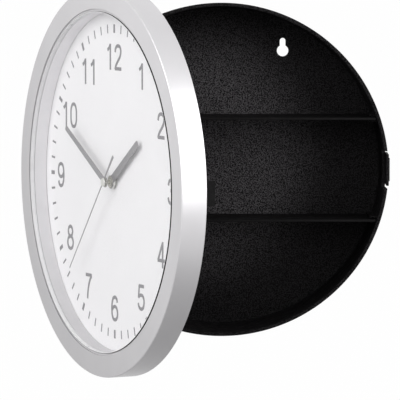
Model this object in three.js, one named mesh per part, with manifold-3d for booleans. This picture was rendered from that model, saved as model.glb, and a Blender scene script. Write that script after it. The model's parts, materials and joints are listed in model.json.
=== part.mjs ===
// Clock diversion safe: a round wall clock whose face is a door, hinged at nine o'clock over a shelved tray.
// Millimetres, +Z up. The origin is the middle of the tray's back face, which hangs flat against the wall.
// The closed clock faces -Y. The door is modelled standing open, as it is when the safe is in use.
// Inside the door every piece is placed by (x, depth, z): x to the right and z up as the closed clock is
// seen, and depth measured backwards from the front of the ring. The hands turn about the depth axis.

import * as THREE from "three";
import { mergeVertices } from "three/addons/utils/BufferGeometryUtils.js";
import Module from "manifold-3d";

const wasm = await Module();
wasm.setup();

// Play, seats and cutting
const seatGap = 0.3; // between two pieces that rest on each other
const runningGap = 0.15; // around a small shaft in its hole
const cutOverrun = 1; // how far a cutting shape runs past the face that it cuts
const ringSides = 56; // facets round the large rings
const smallSides = 16; // facets round hubs, bosses and pins
const fineSides = 8; // facets round the smallest pivots
const cornerSteps = 3; // facets round each corner of the movement's case

// Ring round the clock's face, which sets the size of the whole
const ringR = 127; // a ten-inch clock
const ringFaceWide = 15.3; // from the outer edge in to the opening
const ringDepth = 17.3;
const ringWall = 2;
const ringFaceThick = 1.6;
const ringEdge = 0.7; // narrow rounding of the front's outer corner
const ringOverhang = 13.1; // how far the ring reaches beyond the tray
const ringToRim = 1.65; // from the ring's rear edge to the tray's rim when closed
const registerWall = 1.6; // inner wall that centres the lens, spacer and dial
const stackPlay = 0.4; // round the lens, spacer and dial

// Tray: the body of the safe
const trayDraft = 1.5; // how much smaller the tray's radius is at its back
const trayDepth = 52;
const trayWall = 2.4;
const trayEdgeR = 3.6; // rounding between the wall and the back
const trayEdgeSteps = 3;
const keyholeX = 42.5;
const keyholeDrop = 34.4; // from the top of the rim down to the keyholes' round heads
const keyholeHeadR = 4;
const keyholeSlotR = 2;
const keyholeRise = 6.8; // from the round head's centre up to the centre of the slot's end

// Shelves
const shelfZ = 34.8;
const shelfThick = 1.6;
const shelfSetback = 1.5; // from the rim back to the shelf's front edge
const railReach = 3; // how far the grooved rails stand in from the wall
const railThick = 1.4;
const railSetback = 9; // from the rim back to the front end of the rails

// Snap latch at three o'clock: a flexing tongue in a window of the tray's wall
const tongueLength = 23.7;
const tongueHeight = 21.7;
const tongueThick = 1.8;
const tongueProud = 0.2; // the flat outer face stands out from the round wall by this much
const tongueSlit = 2;
const nibHeight = 0.8;
const nibLength = 3.2;
const nibSetback = 3; // from the rim back to the start of the nib
const catchPass = 0.4; // between the nib and the door's catch as they pass
const catchRib = 0.8;
const catchThick = 2;
const catchHeight = 16;
const catchLength = 8.4;

// Hinge at nine o'clock
const restOpening = 64; // degrees
const hingePlay = 0.77; // from the knuckles to the inside of the ring, at the hinge's ends
const hingeAhead = 3; // the pin's axis lies this far in front of the rim
const knuckleR = 3.4;
const pinR = 1.2;
const hingeHeight = 48; // short enough for the straight pin to stay inside the round ring
const doorKnuckleHeight = 20;
const pinHeadR = 2.3;
const pinHeadThick = 1.1;
const hingeArmSide = 4.2; // from the axis to the arms' outer side, clear of the ring's edge as it swings past
const hingeArmShoulder = 3.4; // from the axis back to where the arms' outer side starts
const hingeArmDepth = 7; // how far the arms run back along the tray's wall, behind the rim
const hingeArmBearing = 40; // degrees, where the arms' outer side leaves the knuckle
const hingeNotchEdge = 6.2; // from the axis to the edge of the door back's notch
const hingeNotchPlay = 0.5; // between that edge and the arms

// Lens, spacer and dial
const lensThick = 1;
const lensLap = 2.2; // how far the lens reaches behind the ring's face
const lensEdge = 0.3;
const spacerStep = 1.1; // how far the spacer stands in from the ring's opening
const spacerWall = 2.6;
const dialDepth = 12.1;
const dialThick = 0.5;

// Back of the door
const backPlate = 2;
const backFlangeStep = 2; // how far the disc overlaps the flange
const backRibs = 8;
const backRibWide = 1.6;
const backRibTall = 1.8;
const backFramePlay = 0.6; // round the movement's case
const backFrameWall = 1.4;
const backFrameTall = 3;
const bossR = 3.2;
const bossBoreR = 1.3;
const bossCount = 6;
const screwShankR = 1.1;
const screwHoleR = 1.5;
const screwHeadR = 2.8;
const screwHeadThick = 1.6;
const screwLength = 11;

// Neck, washers and nut that hold the movement in the door
const neckR = 3.2;
const neckBoreR = 2.4;
const nutThick = 1.6;
const nutAcrossFlats = 8;
const nutWasherThick = 0.4;
const nutWasherR = 4.6;
const padThick = 0.8; // rubber washer between the door's back and the movement
const padR = 11;

// Movement case
const caseHalf = 28;
const caseDeep = 16;
const caseCorner = 4;
const caseFront = 1.4;
const caseWall = 1.2;
const caseSplit = 8; // from the case's front to the joint between base and cover
const pivotBossR = 1.3;
const pivotBossTall = 2.6;
const pivotR = 0.35;
const arborR = 0.6;

// Battery and its bay along the case's lower edge
const batteryR = 7.1;
const batteryLength = 49.5;
const batteryNubR = 2.7;
const batteryNubLength = 1;
const batteryCapLength = 13;
const batteryPlay = 0.2;
const bayWall = 0.6;
const contactThick = 0.4;
const contactHeight = 9;
const contactBow = 1;

// Layers of the train, each from the inside of the case's front wall to the layer's front
const wheelThick = 0.7;
const pinionThick = 0.95;
const hourLayer = 0.35;
const motionLayer = 1.4;
const clutchLayer = 2.7;
const clutchThick = 0.3;
const clutchR = 3.4;
const centreLayer = 3.3;
const plateLayer = 4.4;
const plateThick = 0.5;
const thirdLayer = 5.2;
const secondLayer = 7.2;
const intermediateLayer = 8.9;

// Train: rotor, intermediate, second, third, centre
const rotorModule = 0.4;
const secondModule = 0.45;
const thirdModule = 0.45;
const rotorTeeth = 6;
const intermediateTeeth = 36;
const intermediatePinionTeeth = 8;
const secondTeeth = 40;
const secondPinionTeeth = 6;
const thirdTeeth = 48;
const thirdPinionTeeth = 6;
const centreTeeth = 45;
const intermediateBearing = 30; // degrees from +x towards +z, as the closed clock is seen
const rotorBearing = 0;
const thirdBearing = 150;

// Motion work: cannon pinion, minute wheel, hour wheel and setting knob
const motionModule = 0.6;
const cannonTeeth = 10;
const minuteTeeth = 30;
const minutePinionTeeth = 8;
const hourTeeth = 32;
const minuteBearing = 90;
const knobBearing = 130;
const knobR = 6;
const knobThick = 3.6;
const knobFlutes = 12;
const knobFluteR = 0.5;
const knobStemR = 1.2;
const minutePostR = 0.8;

// Tooth form, in modules and in shares of the tooth pitch
const addendumShare = 0.95;
const dedendumShare = 1.25;
const toothRootShare = 0.6;
const toothTipShare = 0.2;

// Tubes that carry the hands, and the hands above the dial
const hourTubeR = 2.1;
const hourTubeBoreR = 1.6;
const minuteTubeR = 1.4;
const minuteTubeBoreR = 0.75;
const secondArborR = 0.5;
const tubeProud = 0.35; // how far each tube stands out of its hand
const hourHandHeight = 3;
const minuteHandHeight = 6.8;
const secondHandHeight = 8.3;
const handThick = 0.36;
const secondHandThick = 0.25;
const hourHandLength = 50.5;
const hourHandWide = 5.8;
const hourHandHubR = 4.2;
const minuteHandLength = 71;
const minuteHandWide = 4.4;
const minuteHandHubR = 3.4;
const secondHandLength = 81;
const secondHandTail = 23;
const secondHandWide = 1;
const secondHandHubR = 2.7;
const secondHubDeep = 0.5; // how far the hub reaches back behind the blade
const handTaperShare = 0.78; // width at the tip as a share of the width at the hub
const hourHandAngle = 56.3; // degrees clockwise from twelve
const minuteHandAngle = 297;
const secondHandAngle = 221.7;

// Rotor, stator and coil
const magnetR = 3;
const magnetThick = 2.3;
const statorThick = 0.8;
const statorHoleR = 3.5;
const statorPole = 5.2; // half the height of the plate round the rotor
const statorLeg = 4;
const statorShoulder = 4.5;
const statorLeft = 2.5; // from the hand axis to the left leg
const statorRight = 25.5; // from the hand axis to the right leg's outer edge
const coilZ = 21.3;
const coilR = 3.4;
const coilFlangeR = 4;
const coilFlangeThick = 0.6;
const coreThick = 0.7;
const coreWide = 3;

// Circuit board
const boardLeft = -26;
const boardRight = -12.6;
const boardLow = 2;
const boardHigh = 25.5;
const boardThick = 0.8;
const chipR = 3;
const chipTall = 0.8;
const crystalR = 1;
const crystalLength = 6;

// Train plate: holds the front pivots of the intermediate wheel and rotor
const plateLeft = -15.5;
const plateShoulder = -7.8;
const plateStep = -3;
const plateRight = 25.5;
const plateTop = 16;
const platePostR = 1.2;
const platePostInset = 2;

// Places worked out from the sizes above
const ringOpeningR = ringR - ringFaceWide;
const ringInnerR = ringR - ringWall;
const lensR = ringOpeningR + lensLap;
const spacerR = ringOpeningR - spacerStep;
const registerR = lensR + stackPlay;
const trayRimR = ringR - ringOverhang;
const trayBackR = trayRimR - trayDraft;
const keyholeZ = trayRimR - keyholeDrop;
const bossCircleR = (registerR + registerWall + ringInnerR) / 2;
const chordReach = (radius, height) => Math.sqrt(radius * radius - height * height);
const hingeX = knuckleR + hingePlay - chordReach(ringInnerR, hingeHeight / 2);
const hingeArmFront = hingeNotchEdge - hingeNotchPlay;
const hingeArmRootX = 2 * trayWall - chordReach(trayRimR, hingeHeight / 2);
const rimY = -trayDepth;
const frontY = rimY - ringToRim - ringDepth;
const hingeY = rimY - hingeAhead;
const hingeDepth = hingeY - frontY;
const trayInnerR = trayRimR - trayWall;
const trayInnerBackR = trayBackR - trayWall;
const lensFront = ringFaceThick + seatGap;
const lensRear = lensFront + lensThick;
const dialRear = dialDepth + dialThick;
const plateFront = dialRear + seatGap;
const plateRear = plateFront + backPlate;
const flangeFront = ringDepth - backPlate;
const flangeInnerR = trayRimR + seatGap;
const flangeOuterR = ringInnerR - seatGap;
const padFront = plateRear + seatGap;
const caseFrontDepth = padFront + padThick + seatGap;
const caseInside = caseFrontDepth + caseFront;
const caseRear = caseFrontDepth + caseDeep;
const coverInside = caseRear - caseWall;
const bayFloor = -caseHalf + caseWall;
const batteryZ = bayFloor + batteryPlay + batteryR;
const bayTop = batteryZ + batteryR + batteryPlay;

const degrees = (angle) => (angle * Math.PI) / 180;
const polar = (radius, bearing, from = [0, 0]) => [
  from[0] + radius * Math.cos(degrees(bearing)),
  from[1] + radius * Math.sin(degrees(bearing)),
];

// Axes of the train, as [x, z]
const centreAxis = [0, 0];
const intermediateAxis = polar(((secondTeeth + intermediatePinionTeeth) / 2) * secondModule, intermediateBearing);
const rotorAxis = polar(((rotorTeeth + intermediateTeeth) / 2) * rotorModule, rotorBearing, intermediateAxis);
const thirdReach = ((secondPinionTeeth + thirdTeeth) / 2) * thirdModule;
const thirdAxis = polar(thirdReach, thirdBearing);
const centreModule = (2 * thirdReach) / (thirdPinionTeeth + centreTeeth);
const minuteReach = ((cannonTeeth + minuteTeeth) / 2) * motionModule;
const minuteAxis = polar(minuteReach, minuteBearing);
const hourModule = (2 * minuteReach) / (minutePinionTeeth + hourTeeth);
const knobAxis = polar(minuteReach, knobBearing, minuteAxis);

// Materials
const matt = (color, roughness, metalness = 0) =>
  new THREE.MeshStandardMaterial({ color, roughness, metalness, flatShading: true });
const blackPlastic = matt(0x1a1a1c, 0.75);
const silverPaint = matt(0xbfc1c4, 0.42, 0.35);
const clearLens = new THREE.MeshStandardMaterial({
  color: 0xf4f8fa, roughness: 0.05, metalness: 0, transparent: true, opacity: 0.2, flatShading: true,
});
const greyPlastic = matt(0xc9cbcd, 0.6);
const whitePrint = matt(0xf2f3f4, 0.6);
const greyHand = matt(0x9a9c9e, 0.45, 0.2);
const brass = matt(0xb99a52, 0.35, 0.9);
const steel = matt(0xb4b6b8, 0.35, 0.9);
const rubber = matt(0x202020, 0.9);
const casePlastic = matt(0x26272a, 0.6);
const whitePlastic = matt(0xe8e8e2, 0.55);
const yellowPlastic = matt(0xd9c46a, 0.55);
const copper = matt(0xb06a3a, 0.45, 0.6);
const boardGreen = matt(0x2f6b4a, 0.6);
const batteryWrap = matt(0x2c4a7c, 0.45);

// Geometry helpers. Every shape is a closed solid; only joins and cuts go through the solid library.
function solid(shape) {
  if (!shape.isBufferGeometry) return shape;
  const bare = shape.clone();
  bare.deleteAttribute("normal");
  bare.deleteAttribute("uv");
  const merged = mergeVertices(bare);
  const corners = merged.getIndex().array;
  const points = merged.getAttribute("position").array;
  const kept = [];
  let volume = 0;
  for (let i = 0; i < corners.length; i += 3) {
    const [a, b, c] = [corners[i], corners[i + 1], corners[i + 2]];
    if (a === b || b === c || c === a) continue;
    kept.push([a, b, c]);
    const [p, q, r] = [a, b, c].map((n) => new THREE.Vector3().fromArray(points, 3 * n));
    volume += p.dot(q.cross(r));
  }
  const outward = volume < 0 ? kept.map(([a, b, c]) => [a, c, b]) : kept;
  return new wasm.Manifold(
    new wasm.Mesh({ numProp: 3, vertProperties: new Float32Array(points), triVerts: new Uint32Array(outward.flat()) }),
  );
}

const join = (...shapes) => shapes.map(solid).reduce((whole, shape) => whole.add(shape));
const cut = (shape, ...tools) => tools.map(solid).reduce((whole, tool) => whole.subtract(tool), solid(shape));
const common = (shape, other) => solid(shape).intersect(solid(other));

function piece(name, shape, material) {
  const { vertProperties, triVerts } = solid(shape).getMesh();
  const geometry = new THREE.BufferGeometry();
  geometry.setAttribute("position", new THREE.Float32BufferAttribute(vertProperties, 3));
  geometry.setIndex(Array.from(triVerts));
  geometry.computeVertexNormals();
  const mesh = new THREE.Mesh(geometry, material);
  mesh.name = name;
  return mesh;
}

// A shape turned about the depth axis from its half section, given as [radius, depth] pairs
function revolve(section, sides) {
  const onAxis = section[0][0] === 0;
  const outline = section.map(([radius, depth]) => new THREE.Vector2(radius, depth));
  return new THREE.LatheGeometry(onAxis ? outline : [...outline, outline[0].clone()], sides);
}

const disc = (radius, from, to, sides = smallSides) =>
  new THREE.CylinderGeometry(radius, radius, to - from, sides).translate(0, (from + to) / 2, 0);
const tube = (radius, bore, from, to, sides = smallSides) =>
  revolve([[bore, from], [radius, from], [radius, to], [bore, to]], sides);
const at = (shape, [x, z]) => shape.translate(x, 0, z);

function block([x0, x1], [y0, y1], [z0, z1]) {
  return new THREE.BoxGeometry(x1 - x0, y1 - y0, z1 - z0).translate((x0 + x1) / 2, (y0 + y1) / 2, (z0 + z1) / 2);
}

function outlineOf(points) {
  return new THREE.Shape(points.map(([x, y]) => new THREE.Vector2(x, y)));
}

// An outline in x and z, pushed through from one depth to another
function slab(shape, from, to) {
  const geometry = new THREE.ExtrudeGeometry(shape, { depth: to - from, bevelEnabled: false, curveSegments: cornerSteps });
  return geometry.rotateX(Math.PI / 2).translate(0, to, 0);
}

// An outline in x and y, pushed up from one height to another
function column(shape, from, to) {
  const geometry = new THREE.ExtrudeGeometry(shape, { depth: to - from, bevelEnabled: false });
  return geometry.translate(0, 0, from);
}

function roundedSquare(half, corner) {
  const shape = new THREE.Shape();
  const flat = half - corner;
  shape.absarc(flat, flat, corner, 0, Math.PI / 2);
  shape.absarc(-flat, flat, corner, Math.PI / 2, Math.PI);
  shape.absarc(-flat, -flat, corner, Math.PI, (3 * Math.PI) / 2);
  shape.absarc(flat, -flat, corner, (3 * Math.PI) / 2, 2 * Math.PI);
  return shape;
}

// A toothed disc about the depth axis. The phase is the bearing of one tooth's middle, in radians.
function gear(teeth, module, phase, from, to) {
  const pitchR = (teeth * module) / 2;
  const pitch = (2 * Math.PI) / teeth;
  const flank = [
    [pitchR - dedendumShare * module, -toothRootShare / 2],
    [pitchR + addendumShare * module, -toothTipShare / 2],
    [pitchR + addendumShare * module, toothTipShare / 2],
    [pitchR - dedendumShare * module, toothRootShare / 2],
  ];
  const points = [];
  for (let tooth = 0; tooth < teeth; tooth += 1) {
    for (const [radius, share] of flank) {
      const angle = phase + (tooth + share) * pitch;
      points.push([radius * Math.cos(angle), radius * Math.sin(angle)]);
    }
  }
  return slab(outlineOf(points), from, to);
}

// The phase of a driven gear whose gap meets the driver's tooth on the line between their axes
function meshPhase(phase, teeth, drivenTeeth, [x0, z0], [x1, z1]) {
  const bearing = Math.atan2(z1 - z0, x1 - x0);
  return bearing + Math.PI - ((phase - bearing) * teeth) / drivenTeeth + Math.PI / drivenTeeth;
}

// Body of the safe
function trayWallAt(setback) {
  const share = setback / trayDepth;
  return trayRimR + (trayBackR - trayRimR) * share;
}

function trayShell() {
  const section = [[0, 0]];
  for (let step = 0; step <= trayEdgeSteps; step += 1) {
    const angle = degrees((90 * step) / trayEdgeSteps);
    const radius = trayBackR - trayEdgeR + trayEdgeR * Math.sin(angle);
    section.push([radius, -trayEdgeR + trayEdgeR * Math.cos(angle)]);
  }
  section.push([trayRimR, rimY], [trayInnerR, rimY], [trayInnerBackR, -trayWall], [0, -trayWall]);
  return revolve(section, ringSides);
}

function trayCavity() {
  const section = [[0, -trayWall], [trayInnerBackR, -trayWall], [trayInnerR, rimY], [trayInnerR, rimY - cutOverrun],
    [0, rimY - cutOverrun]];
  return revolve(section, ringSides);
}

function keyhole(side) {
  const head = at(disc(keyholeHeadR, -trayWall - cutOverrun, cutOverrun), [side * keyholeX, keyholeZ]);
  const end = at(disc(keyholeSlotR, -trayWall - cutOverrun, cutOverrun), [side * keyholeX, keyholeZ + keyholeRise]);
  const slot = block(
    [side * keyholeX - keyholeSlotR, side * keyholeX + keyholeSlotR],
    [-trayWall - cutOverrun, cutOverrun],
    [keyholeZ, keyholeZ + keyholeRise],
  );
  return join(head, end, slot);
}

function shelfHalfWidth(setback) {
  const wall = trayWallAt(setback) - trayWall;
  const height = shelfZ + shelfThick / 2;
  return chordReach(wall, height) - seatGap;
}

// Two ribs that hold one end of a shelf between them
function shelfRail(side, level) {
  const edge = shelfHalfWidth(trayDepth - trayWall) - railReach;
  const xs = side > 0 ? [edge, trayRimR - trayWall / 2] : [-trayRimR + trayWall / 2, -edge];
  const half = shelfThick / 2 + seatGap;
  const ys = [rimY + railSetback, -trayWall / 2];
  const below = block(xs, ys, [level - half - railThick, level - half]);
  const above = block(xs, ys, [level + half, level + half + railThick]);
  return join(below, above);
}

// Arm that joins one of the tray's hinge knuckles to its wall, clear of the swinging ring
function hingeArm(from, to) {
  const [knuckleX, knuckleY] = polar(knuckleR - seatGap / 2, hingeArmBearing, [hingeX, hingeY]);
  const outline = outlineOf([
    [hingeX, hingeY - knuckleR + seatGap / 2],
    [hingeX + hingeArmFront, hingeY],
    [hingeX + hingeArmFront, rimY],
    [hingeArmRootX, rimY],
    [hingeArmRootX, rimY + hingeArmDepth],
    [hingeX + hingeArmSide, rimY + hingeArmDepth],
    [hingeX + hingeArmSide, hingeY + hingeArmShoulder],
    [knuckleX, knuckleY],
  ]);
  return column(outline, from, to);
}

function upright(radius, from, to, sides = smallSides) {
  return new THREE.CylinderGeometry(radius, radius, to - from, sides)
    .rotateX(Math.PI / 2).translate(0, 0, (from + to) / 2);
}

function buildTray() {
  const knuckleFrom = doorKnuckleHeight / 2 + seatGap;
  const knuckleTo = hingeHeight / 2;
  const insideWall = revolve([[0, -trayWall / 2], [trayBackR - trayWall / 2, -trayWall / 2],
    [trayRimR - trayWall / 2, rimY], [0, rimY]], ringSides);
  let tray = trayShell();
  for (const side of [-1, 1]) {
    const [from, to] = side > 0 ? [knuckleFrom, knuckleTo] : [-knuckleTo, -knuckleFrom];
    const knuckle = upright(knuckleR, from, to).translate(hingeX, hingeY, 0);
    tray = join(tray, knuckle, cut(hingeArm(from, to), trayCavity()));
    for (const level of [-shelfZ, shelfZ]) {
      tray = join(tray, common(shelfRail(side, level), insideWall));
    }
  }
  const bore = upright(pinR + runningGap, -hingeHeight, hingeHeight).translate(hingeX, hingeY, 0);
  const windowHalf = tongueHeight / 2 + tongueSlit;
  const latchWindow = block(
    [trayInnerBackR - railReach, ringR],
    [rimY - cutOverrun, rimY + tongueLength + seatGap],
    [-windowHalf, windowHalf],
  );
  return piece("back_case", cut(tray, bore, latchWindow, keyhole(-1), keyhole(1)), blackPlastic);
}

function buildShelf(name, level) {
  const front = rimY + shelfSetback;
  const back = -trayWall - seatGap;
  const frontHalf = shelfHalfWidth(shelfSetback);
  const backHalf = shelfHalfWidth(trayDepth - trayWall - seatGap);
  const board = outlineOf([[-frontHalf, front], [frontHalf, front], [backHalf, back], [-backHalf, back]]);
  return piece(name, column(board, level - shelfThick / 2, level + shelfThick / 2), blackPlastic);
}

function buildTongue() {
  const face = trayRimR + tongueProud;
  const root = rimY + tongueLength;
  const half = tongueHeight / 2;
  const blade = block([face - tongueThick, face], [rimY, root], [-half, half]);
  const nibStart = rimY + nibSetback;
  const nib = column(outlineOf([
    [face - tongueThick / 2, nibStart],
    [face, nibStart],
    [face + nibHeight, nibStart + nibLength / 2],
    [face, nibStart + nibLength],
    [face - tongueThick / 2, nibStart + nibLength],
  ]), -catchHeight / 2, catchHeight / 2);
  return piece("latch_tongue", join(blade, nib), blackPlastic);
}

function buildHingePin() {
  const top = hingeHeight / 2 + seatGap;
  const pin = join(
    upright(pinR, -hingeHeight / 2, top + pinHeadThick / 2),
    upright(pinHeadR, top, top + pinHeadThick),
  );
  const mesh = piece("hinge_pin", pin, steel);
  mesh.position.set(hingeX, hingeY, 0);
  return mesh;
}

// Ring, lens, spacer and dial
const bossAxes = Array.from({ length: bossCount }, (_, n) => polar(bossCircleR, (360 * (n + 0.5)) / bossCount));

function buildRing() {
  const section = [
    [ringOpeningR, ringEdge / 2], [ringOpeningR + ringEdge / 2, 0], [ringR - ringEdge, 0],
    [ringR - ringEdge * (1 - Math.SQRT1_2), ringEdge * (1 - Math.SQRT1_2)], [ringR, ringEdge],
    [ringR, ringDepth], [ringInnerR, ringDepth], [ringInnerR, ringFaceThick],
    [registerR + registerWall, ringFaceThick], [registerR + registerWall, dialRear - stackPlay],
    [registerR, dialRear - stackPlay], [registerR, ringFaceThick], [ringOpeningR, ringFaceThick],
  ];
  let ring = solid(revolve(section, ringSides));
  for (const axis of bossAxes) {
    const boss = at(disc(bossR, ringFaceThick / 2, flangeFront - seatGap, fineSides), axis);
    const bore = at(disc(bossBoreR, flangeFront - screwLength, flangeFront, fineSides), axis);
    ring = cut(join(ring, boss), bore);
  }
  return piece("bezel_ring", ring, silverPaint);
}

function buildLens() {
  const section = [
    [0, lensFront], [lensR - lensEdge, lensFront], [lensR, lensFront + lensEdge], [lensR, lensRear], [0, lensRear],
  ];
  return piece("lens", revolve(section, ringSides), clearLens);
}

function buildSpacer() {
  const front = lensRear + seatGap;
  const rear = dialDepth - seatGap;
  return piece("dial_spacer", tube(spacerR + spacerWall, spacerR, front, rear, ringSides), greyPlastic);
}

function buildDial() {
  const dial = cut(disc(lensR, dialDepth, dialRear, ringSides), disc(neckR + seatGap, dialDepth - cutOverrun,
    dialRear + cutOverrun));
  return piece("dial", dial, whitePrint);
}

// Moulded back of the door, with its rib pattern, the frame round the movement, the hinge knuckle and the catch
function buildDoorBack() {
  const section = [
    [0, plateFront], [flangeInnerR + backFlangeStep, plateFront], [flangeInnerR + backFlangeStep, flangeFront],
    [flangeOuterR, flangeFront], [flangeOuterR, ringDepth], [flangeInnerR, ringDepth], [flangeInnerR, plateRear],
    [0, plateRear],
  ];
  const frameHalf = caseHalf + backFramePlay;
  const frame = cut(
    slab(roundedSquare(frameHalf + backFrameWall, caseCorner), plateRear - backPlate / 2, plateRear + backFrameTall),
    slab(roundedSquare(frameHalf, caseCorner), plateRear - backPlate, plateRear + backFrameTall + cutOverrun),
  );
  let back = join(revolve(section, ringSides), frame);
  const ribs = Array.from({ length: backRibs }, (_, n) => {
    const bearing = (360 * (n + 0.5)) / backRibs;
    const start = frameHalf / Math.max(Math.abs(Math.cos(degrees(bearing))), Math.abs(Math.sin(degrees(bearing))));
    return block([start, flangeInnerR + backFlangeStep / 2], [plateRear - backPlate / 2, plateRear + backRibTall],
      [-backRibWide / 2, backRibWide / 2]).rotateY(-degrees(bearing));
  });
  back = join(back, ...ribs);
  const notch = block([-ringR, hingeX + hingeNotchEdge], [0, ringDepth + cutOverrun],
    [-hingeHeight / 2 - 2 * seatGap, hingeHeight / 2 + pinHeadThick + 2 * seatGap]);
  const knuckleHalf = doorKnuckleHeight / 2;
  const knuckle = upright(knuckleR, -knuckleHalf, knuckleHalf).translate(hingeX, hingeDepth, 0);
  const arm = block([hingeX, hingeX + 2 * hingeNotchEdge], [flangeFront, ringDepth], [-knuckleHalf, knuckleHalf]);
  const armDisc = block([hingeX + hingeNotchEdge - cutOverrun, hingeX + 2 * hingeNotchEdge], [plateFront, ringDepth],
    [-knuckleHalf, knuckleHalf]);
  back = join(cut(back, notch), knuckle, arm, armDisc);
  const bore = upright(pinR + runningGap, -knuckleHalf - cutOverrun, knuckleHalf + cutOverrun)
    .translate(hingeX, hingeDepth, 0);
  const screwHoles = bossAxes.map((axis) => at(disc(screwHoleR, 0, 2 * ringDepth, fineSides), axis));
  const neckHole = disc(neckR + seatGap, 0, 2 * ringDepth);
  return piece("door_back", cut(join(back, catchFinger()), bore, neckHole, ...screwHoles), blackPlastic);
}

// Finger at three o'clock whose rib rides over the nib of the latch tongue
function catchFinger() {
  const ribFace = trayRimR + tongueProud + nibHeight + catchPass;
  const inner = ribFace + catchRib;
  const rear = ringDepth + ringToRim + catchLength;
  const ribCentre = ringDepth + ringToRim + nibSetback + nibLength;
  const half = catchHeight / 2;
  return column(outlineOf([
    [inner, flangeFront], [inner + catchThick, flangeFront], [inner + catchThick, rear], [inner, rear],
    [inner, ribCentre + nibLength / 2], [ribFace, ribCentre], [inner, ribCentre - nibLength / 2],
  ]), -half, half);
}

function buildScrews() {
  const head = ringDepth + seatGap;
  return bossAxes.map((axis, n) => piece(`bezel_screw_${n + 1}`, join(
    at(disc(screwShankR, head - screwLength, head + screwHeadThick / 2, fineSides), axis),
    at(disc(screwHeadR, head, head + screwHeadThick, fineSides), axis),
  ), steel));
}

// Fastening of the movement
function buildNut() {
  const rear = dialDepth - 2 * seatGap - nutWasherThick;
  const hexagon = outlineOf(Array.from({ length: 6 }, (_, n) => polar(nutAcrossFlats / Math.sqrt(3), 60 * n)));
  return piece("lock_nut", cut(slab(hexagon, rear - nutThick, rear), disc(neckR + runningGap, 0, ringDepth)), brass);
}

function buildNutWasher() {
  const rear = dialDepth - seatGap;
  return piece("nut_washer", tube(nutWasherR, neckR + runningGap, rear - nutWasherThick, rear), brass);
}

function buildPad() {
  return piece("rubber_washer", tube(padR, neckR + seatGap, padFront, padFront + padThick), rubber);
}

// Movement case
const arborEnds = [thirdAxis, intermediateAxis, rotorAxis, centreAxis];

function buildMovementBase() {
  const neckFront = dialDepth - 2 * seatGap - nutWasherThick - nutThick;
  const split = caseFrontDepth + caseSplit;
  const outside = slab(roundedSquare(caseHalf, caseCorner), caseFrontDepth, split);
  const inside = slab(roundedSquare(caseHalf - caseWall, caseCorner - caseWall), caseInside, split + cutOverrun);
  const neck = disc(neckR, neckFront, caseInside);
  const dividerHalf = caseHalf - caseWall - seatGap;
  const dividerZ = [bayTop, bayTop + bayWall];
  const divider = join(
    block([-caseHalf + caseWall / 2, caseHalf - caseWall / 2], [caseInside - caseFront / 2, split], dividerZ),
    block([-dividerHalf, dividerHalf], [caseInside, coverInside - seatGap], dividerZ),
  );
  const postTop = caseInside + motionLayer + pinionThick;
  const minutePost = at(disc(minutePostR, caseInside - caseFront / 2, postTop, fineSides), minuteAxis);
  const thirdBoss = at(disc(pivotBossR, caseInside - caseFront / 2, caseInside + motionLayer, fineSides), thirdAxis);
  const knobBoss = at(disc(knobStemR + runningGap + pivotBossR, caseInside - caseFront / 2, caseInside + hourLayer),
    knobAxis);
  const posts = platePosts().map((axis) => at(disc(platePostR, caseInside - caseFront / 2, caseInside + plateLayer
    - seatGap, fineSides), axis));
  const boardPosts = boardCorners().map((axis) => at(disc(platePostR, caseInside - caseFront / 2, caseInside
    + hourLayer, fineSides), axis));
  const base = join(cut(outside, inside), neck, divider, minutePost, thirdBoss, knobBoss, ...posts, ...boardPosts);
  const thirdPivot = at(disc(pivotR + runningGap, caseInside, caseInside + ringDepth, fineSides), thirdAxis);
  const knobPivot = at(disc(knobStemR + runningGap, caseInside - caseFront / 2, caseInside + ringDepth, fineSides),
    knobAxis);
  return piece("movement_base", cut(base, disc(neckBoreR, 0, caseRear), thirdPivot, knobPivot), casePlastic);
}

function platePosts() {
  const low = bayTop + bayWall + platePostInset;
  return [
    [plateLeft + platePostInset, low],
    [plateRight - platePostInset, low],
    [plateRight - platePostInset, plateTop - platePostInset],
  ];
}

function boardCorners() {
  return [
    [boardLeft + platePostInset, boardLow + platePostInset],
    [boardLeft + platePostInset, boardHigh - platePostInset],
    [boardRight - platePostInset, boardHigh - platePostInset],
  ];
}

function buildMovementCover() {
  const split = caseFrontDepth + caseSplit + seatGap;
  const outside = slab(roundedSquare(caseHalf, caseCorner), split, caseRear);
  const inside = slab(roundedSquare(caseHalf - caseWall, caseCorner - caseWall), split - cutOverrun, coverInside);
  const bosses = arborEnds.map((axis) => at(disc(pivotBossR, coverInside - pivotBossTall, caseRear - caseWall / 2,
    fineSides), axis));
  const bores = arborEnds.map((axis) => at(disc(pivotR + runningGap, coverInside - pivotBossTall - cutOverrun,
    coverInside, fineSides), axis));
  const bay = block([-caseHalf + caseWall, caseHalf - caseWall], [coverInside - cutOverrun, caseRear + cutOverrun],
    [bayFloor, bayTop]);
  const stemHole = at(disc(knobStemR + runningGap, coverInside - cutOverrun, caseRear + cutOverrun), knobAxis);
  return piece("movement_cover", cut(join(cut(outside, inside), ...bosses), bay, stemHole, ...bores), casePlastic);
}

// Battery, lying along x with its positive end to the right, and the two contacts
function lying(radius, from, to, sides = smallSides) {
  return new THREE.CylinderGeometry(radius, radius, to - from, sides).rotateZ(Math.PI / 2)
    .translate((from + to) / 2, 0, 0);
}

const batteryDepth = caseRear - batteryPlay - batteryR;
const contactFace = caseHalf - caseWall - seatGap - contactThick;
const batteryTip = contactFace - seatGap;

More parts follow.
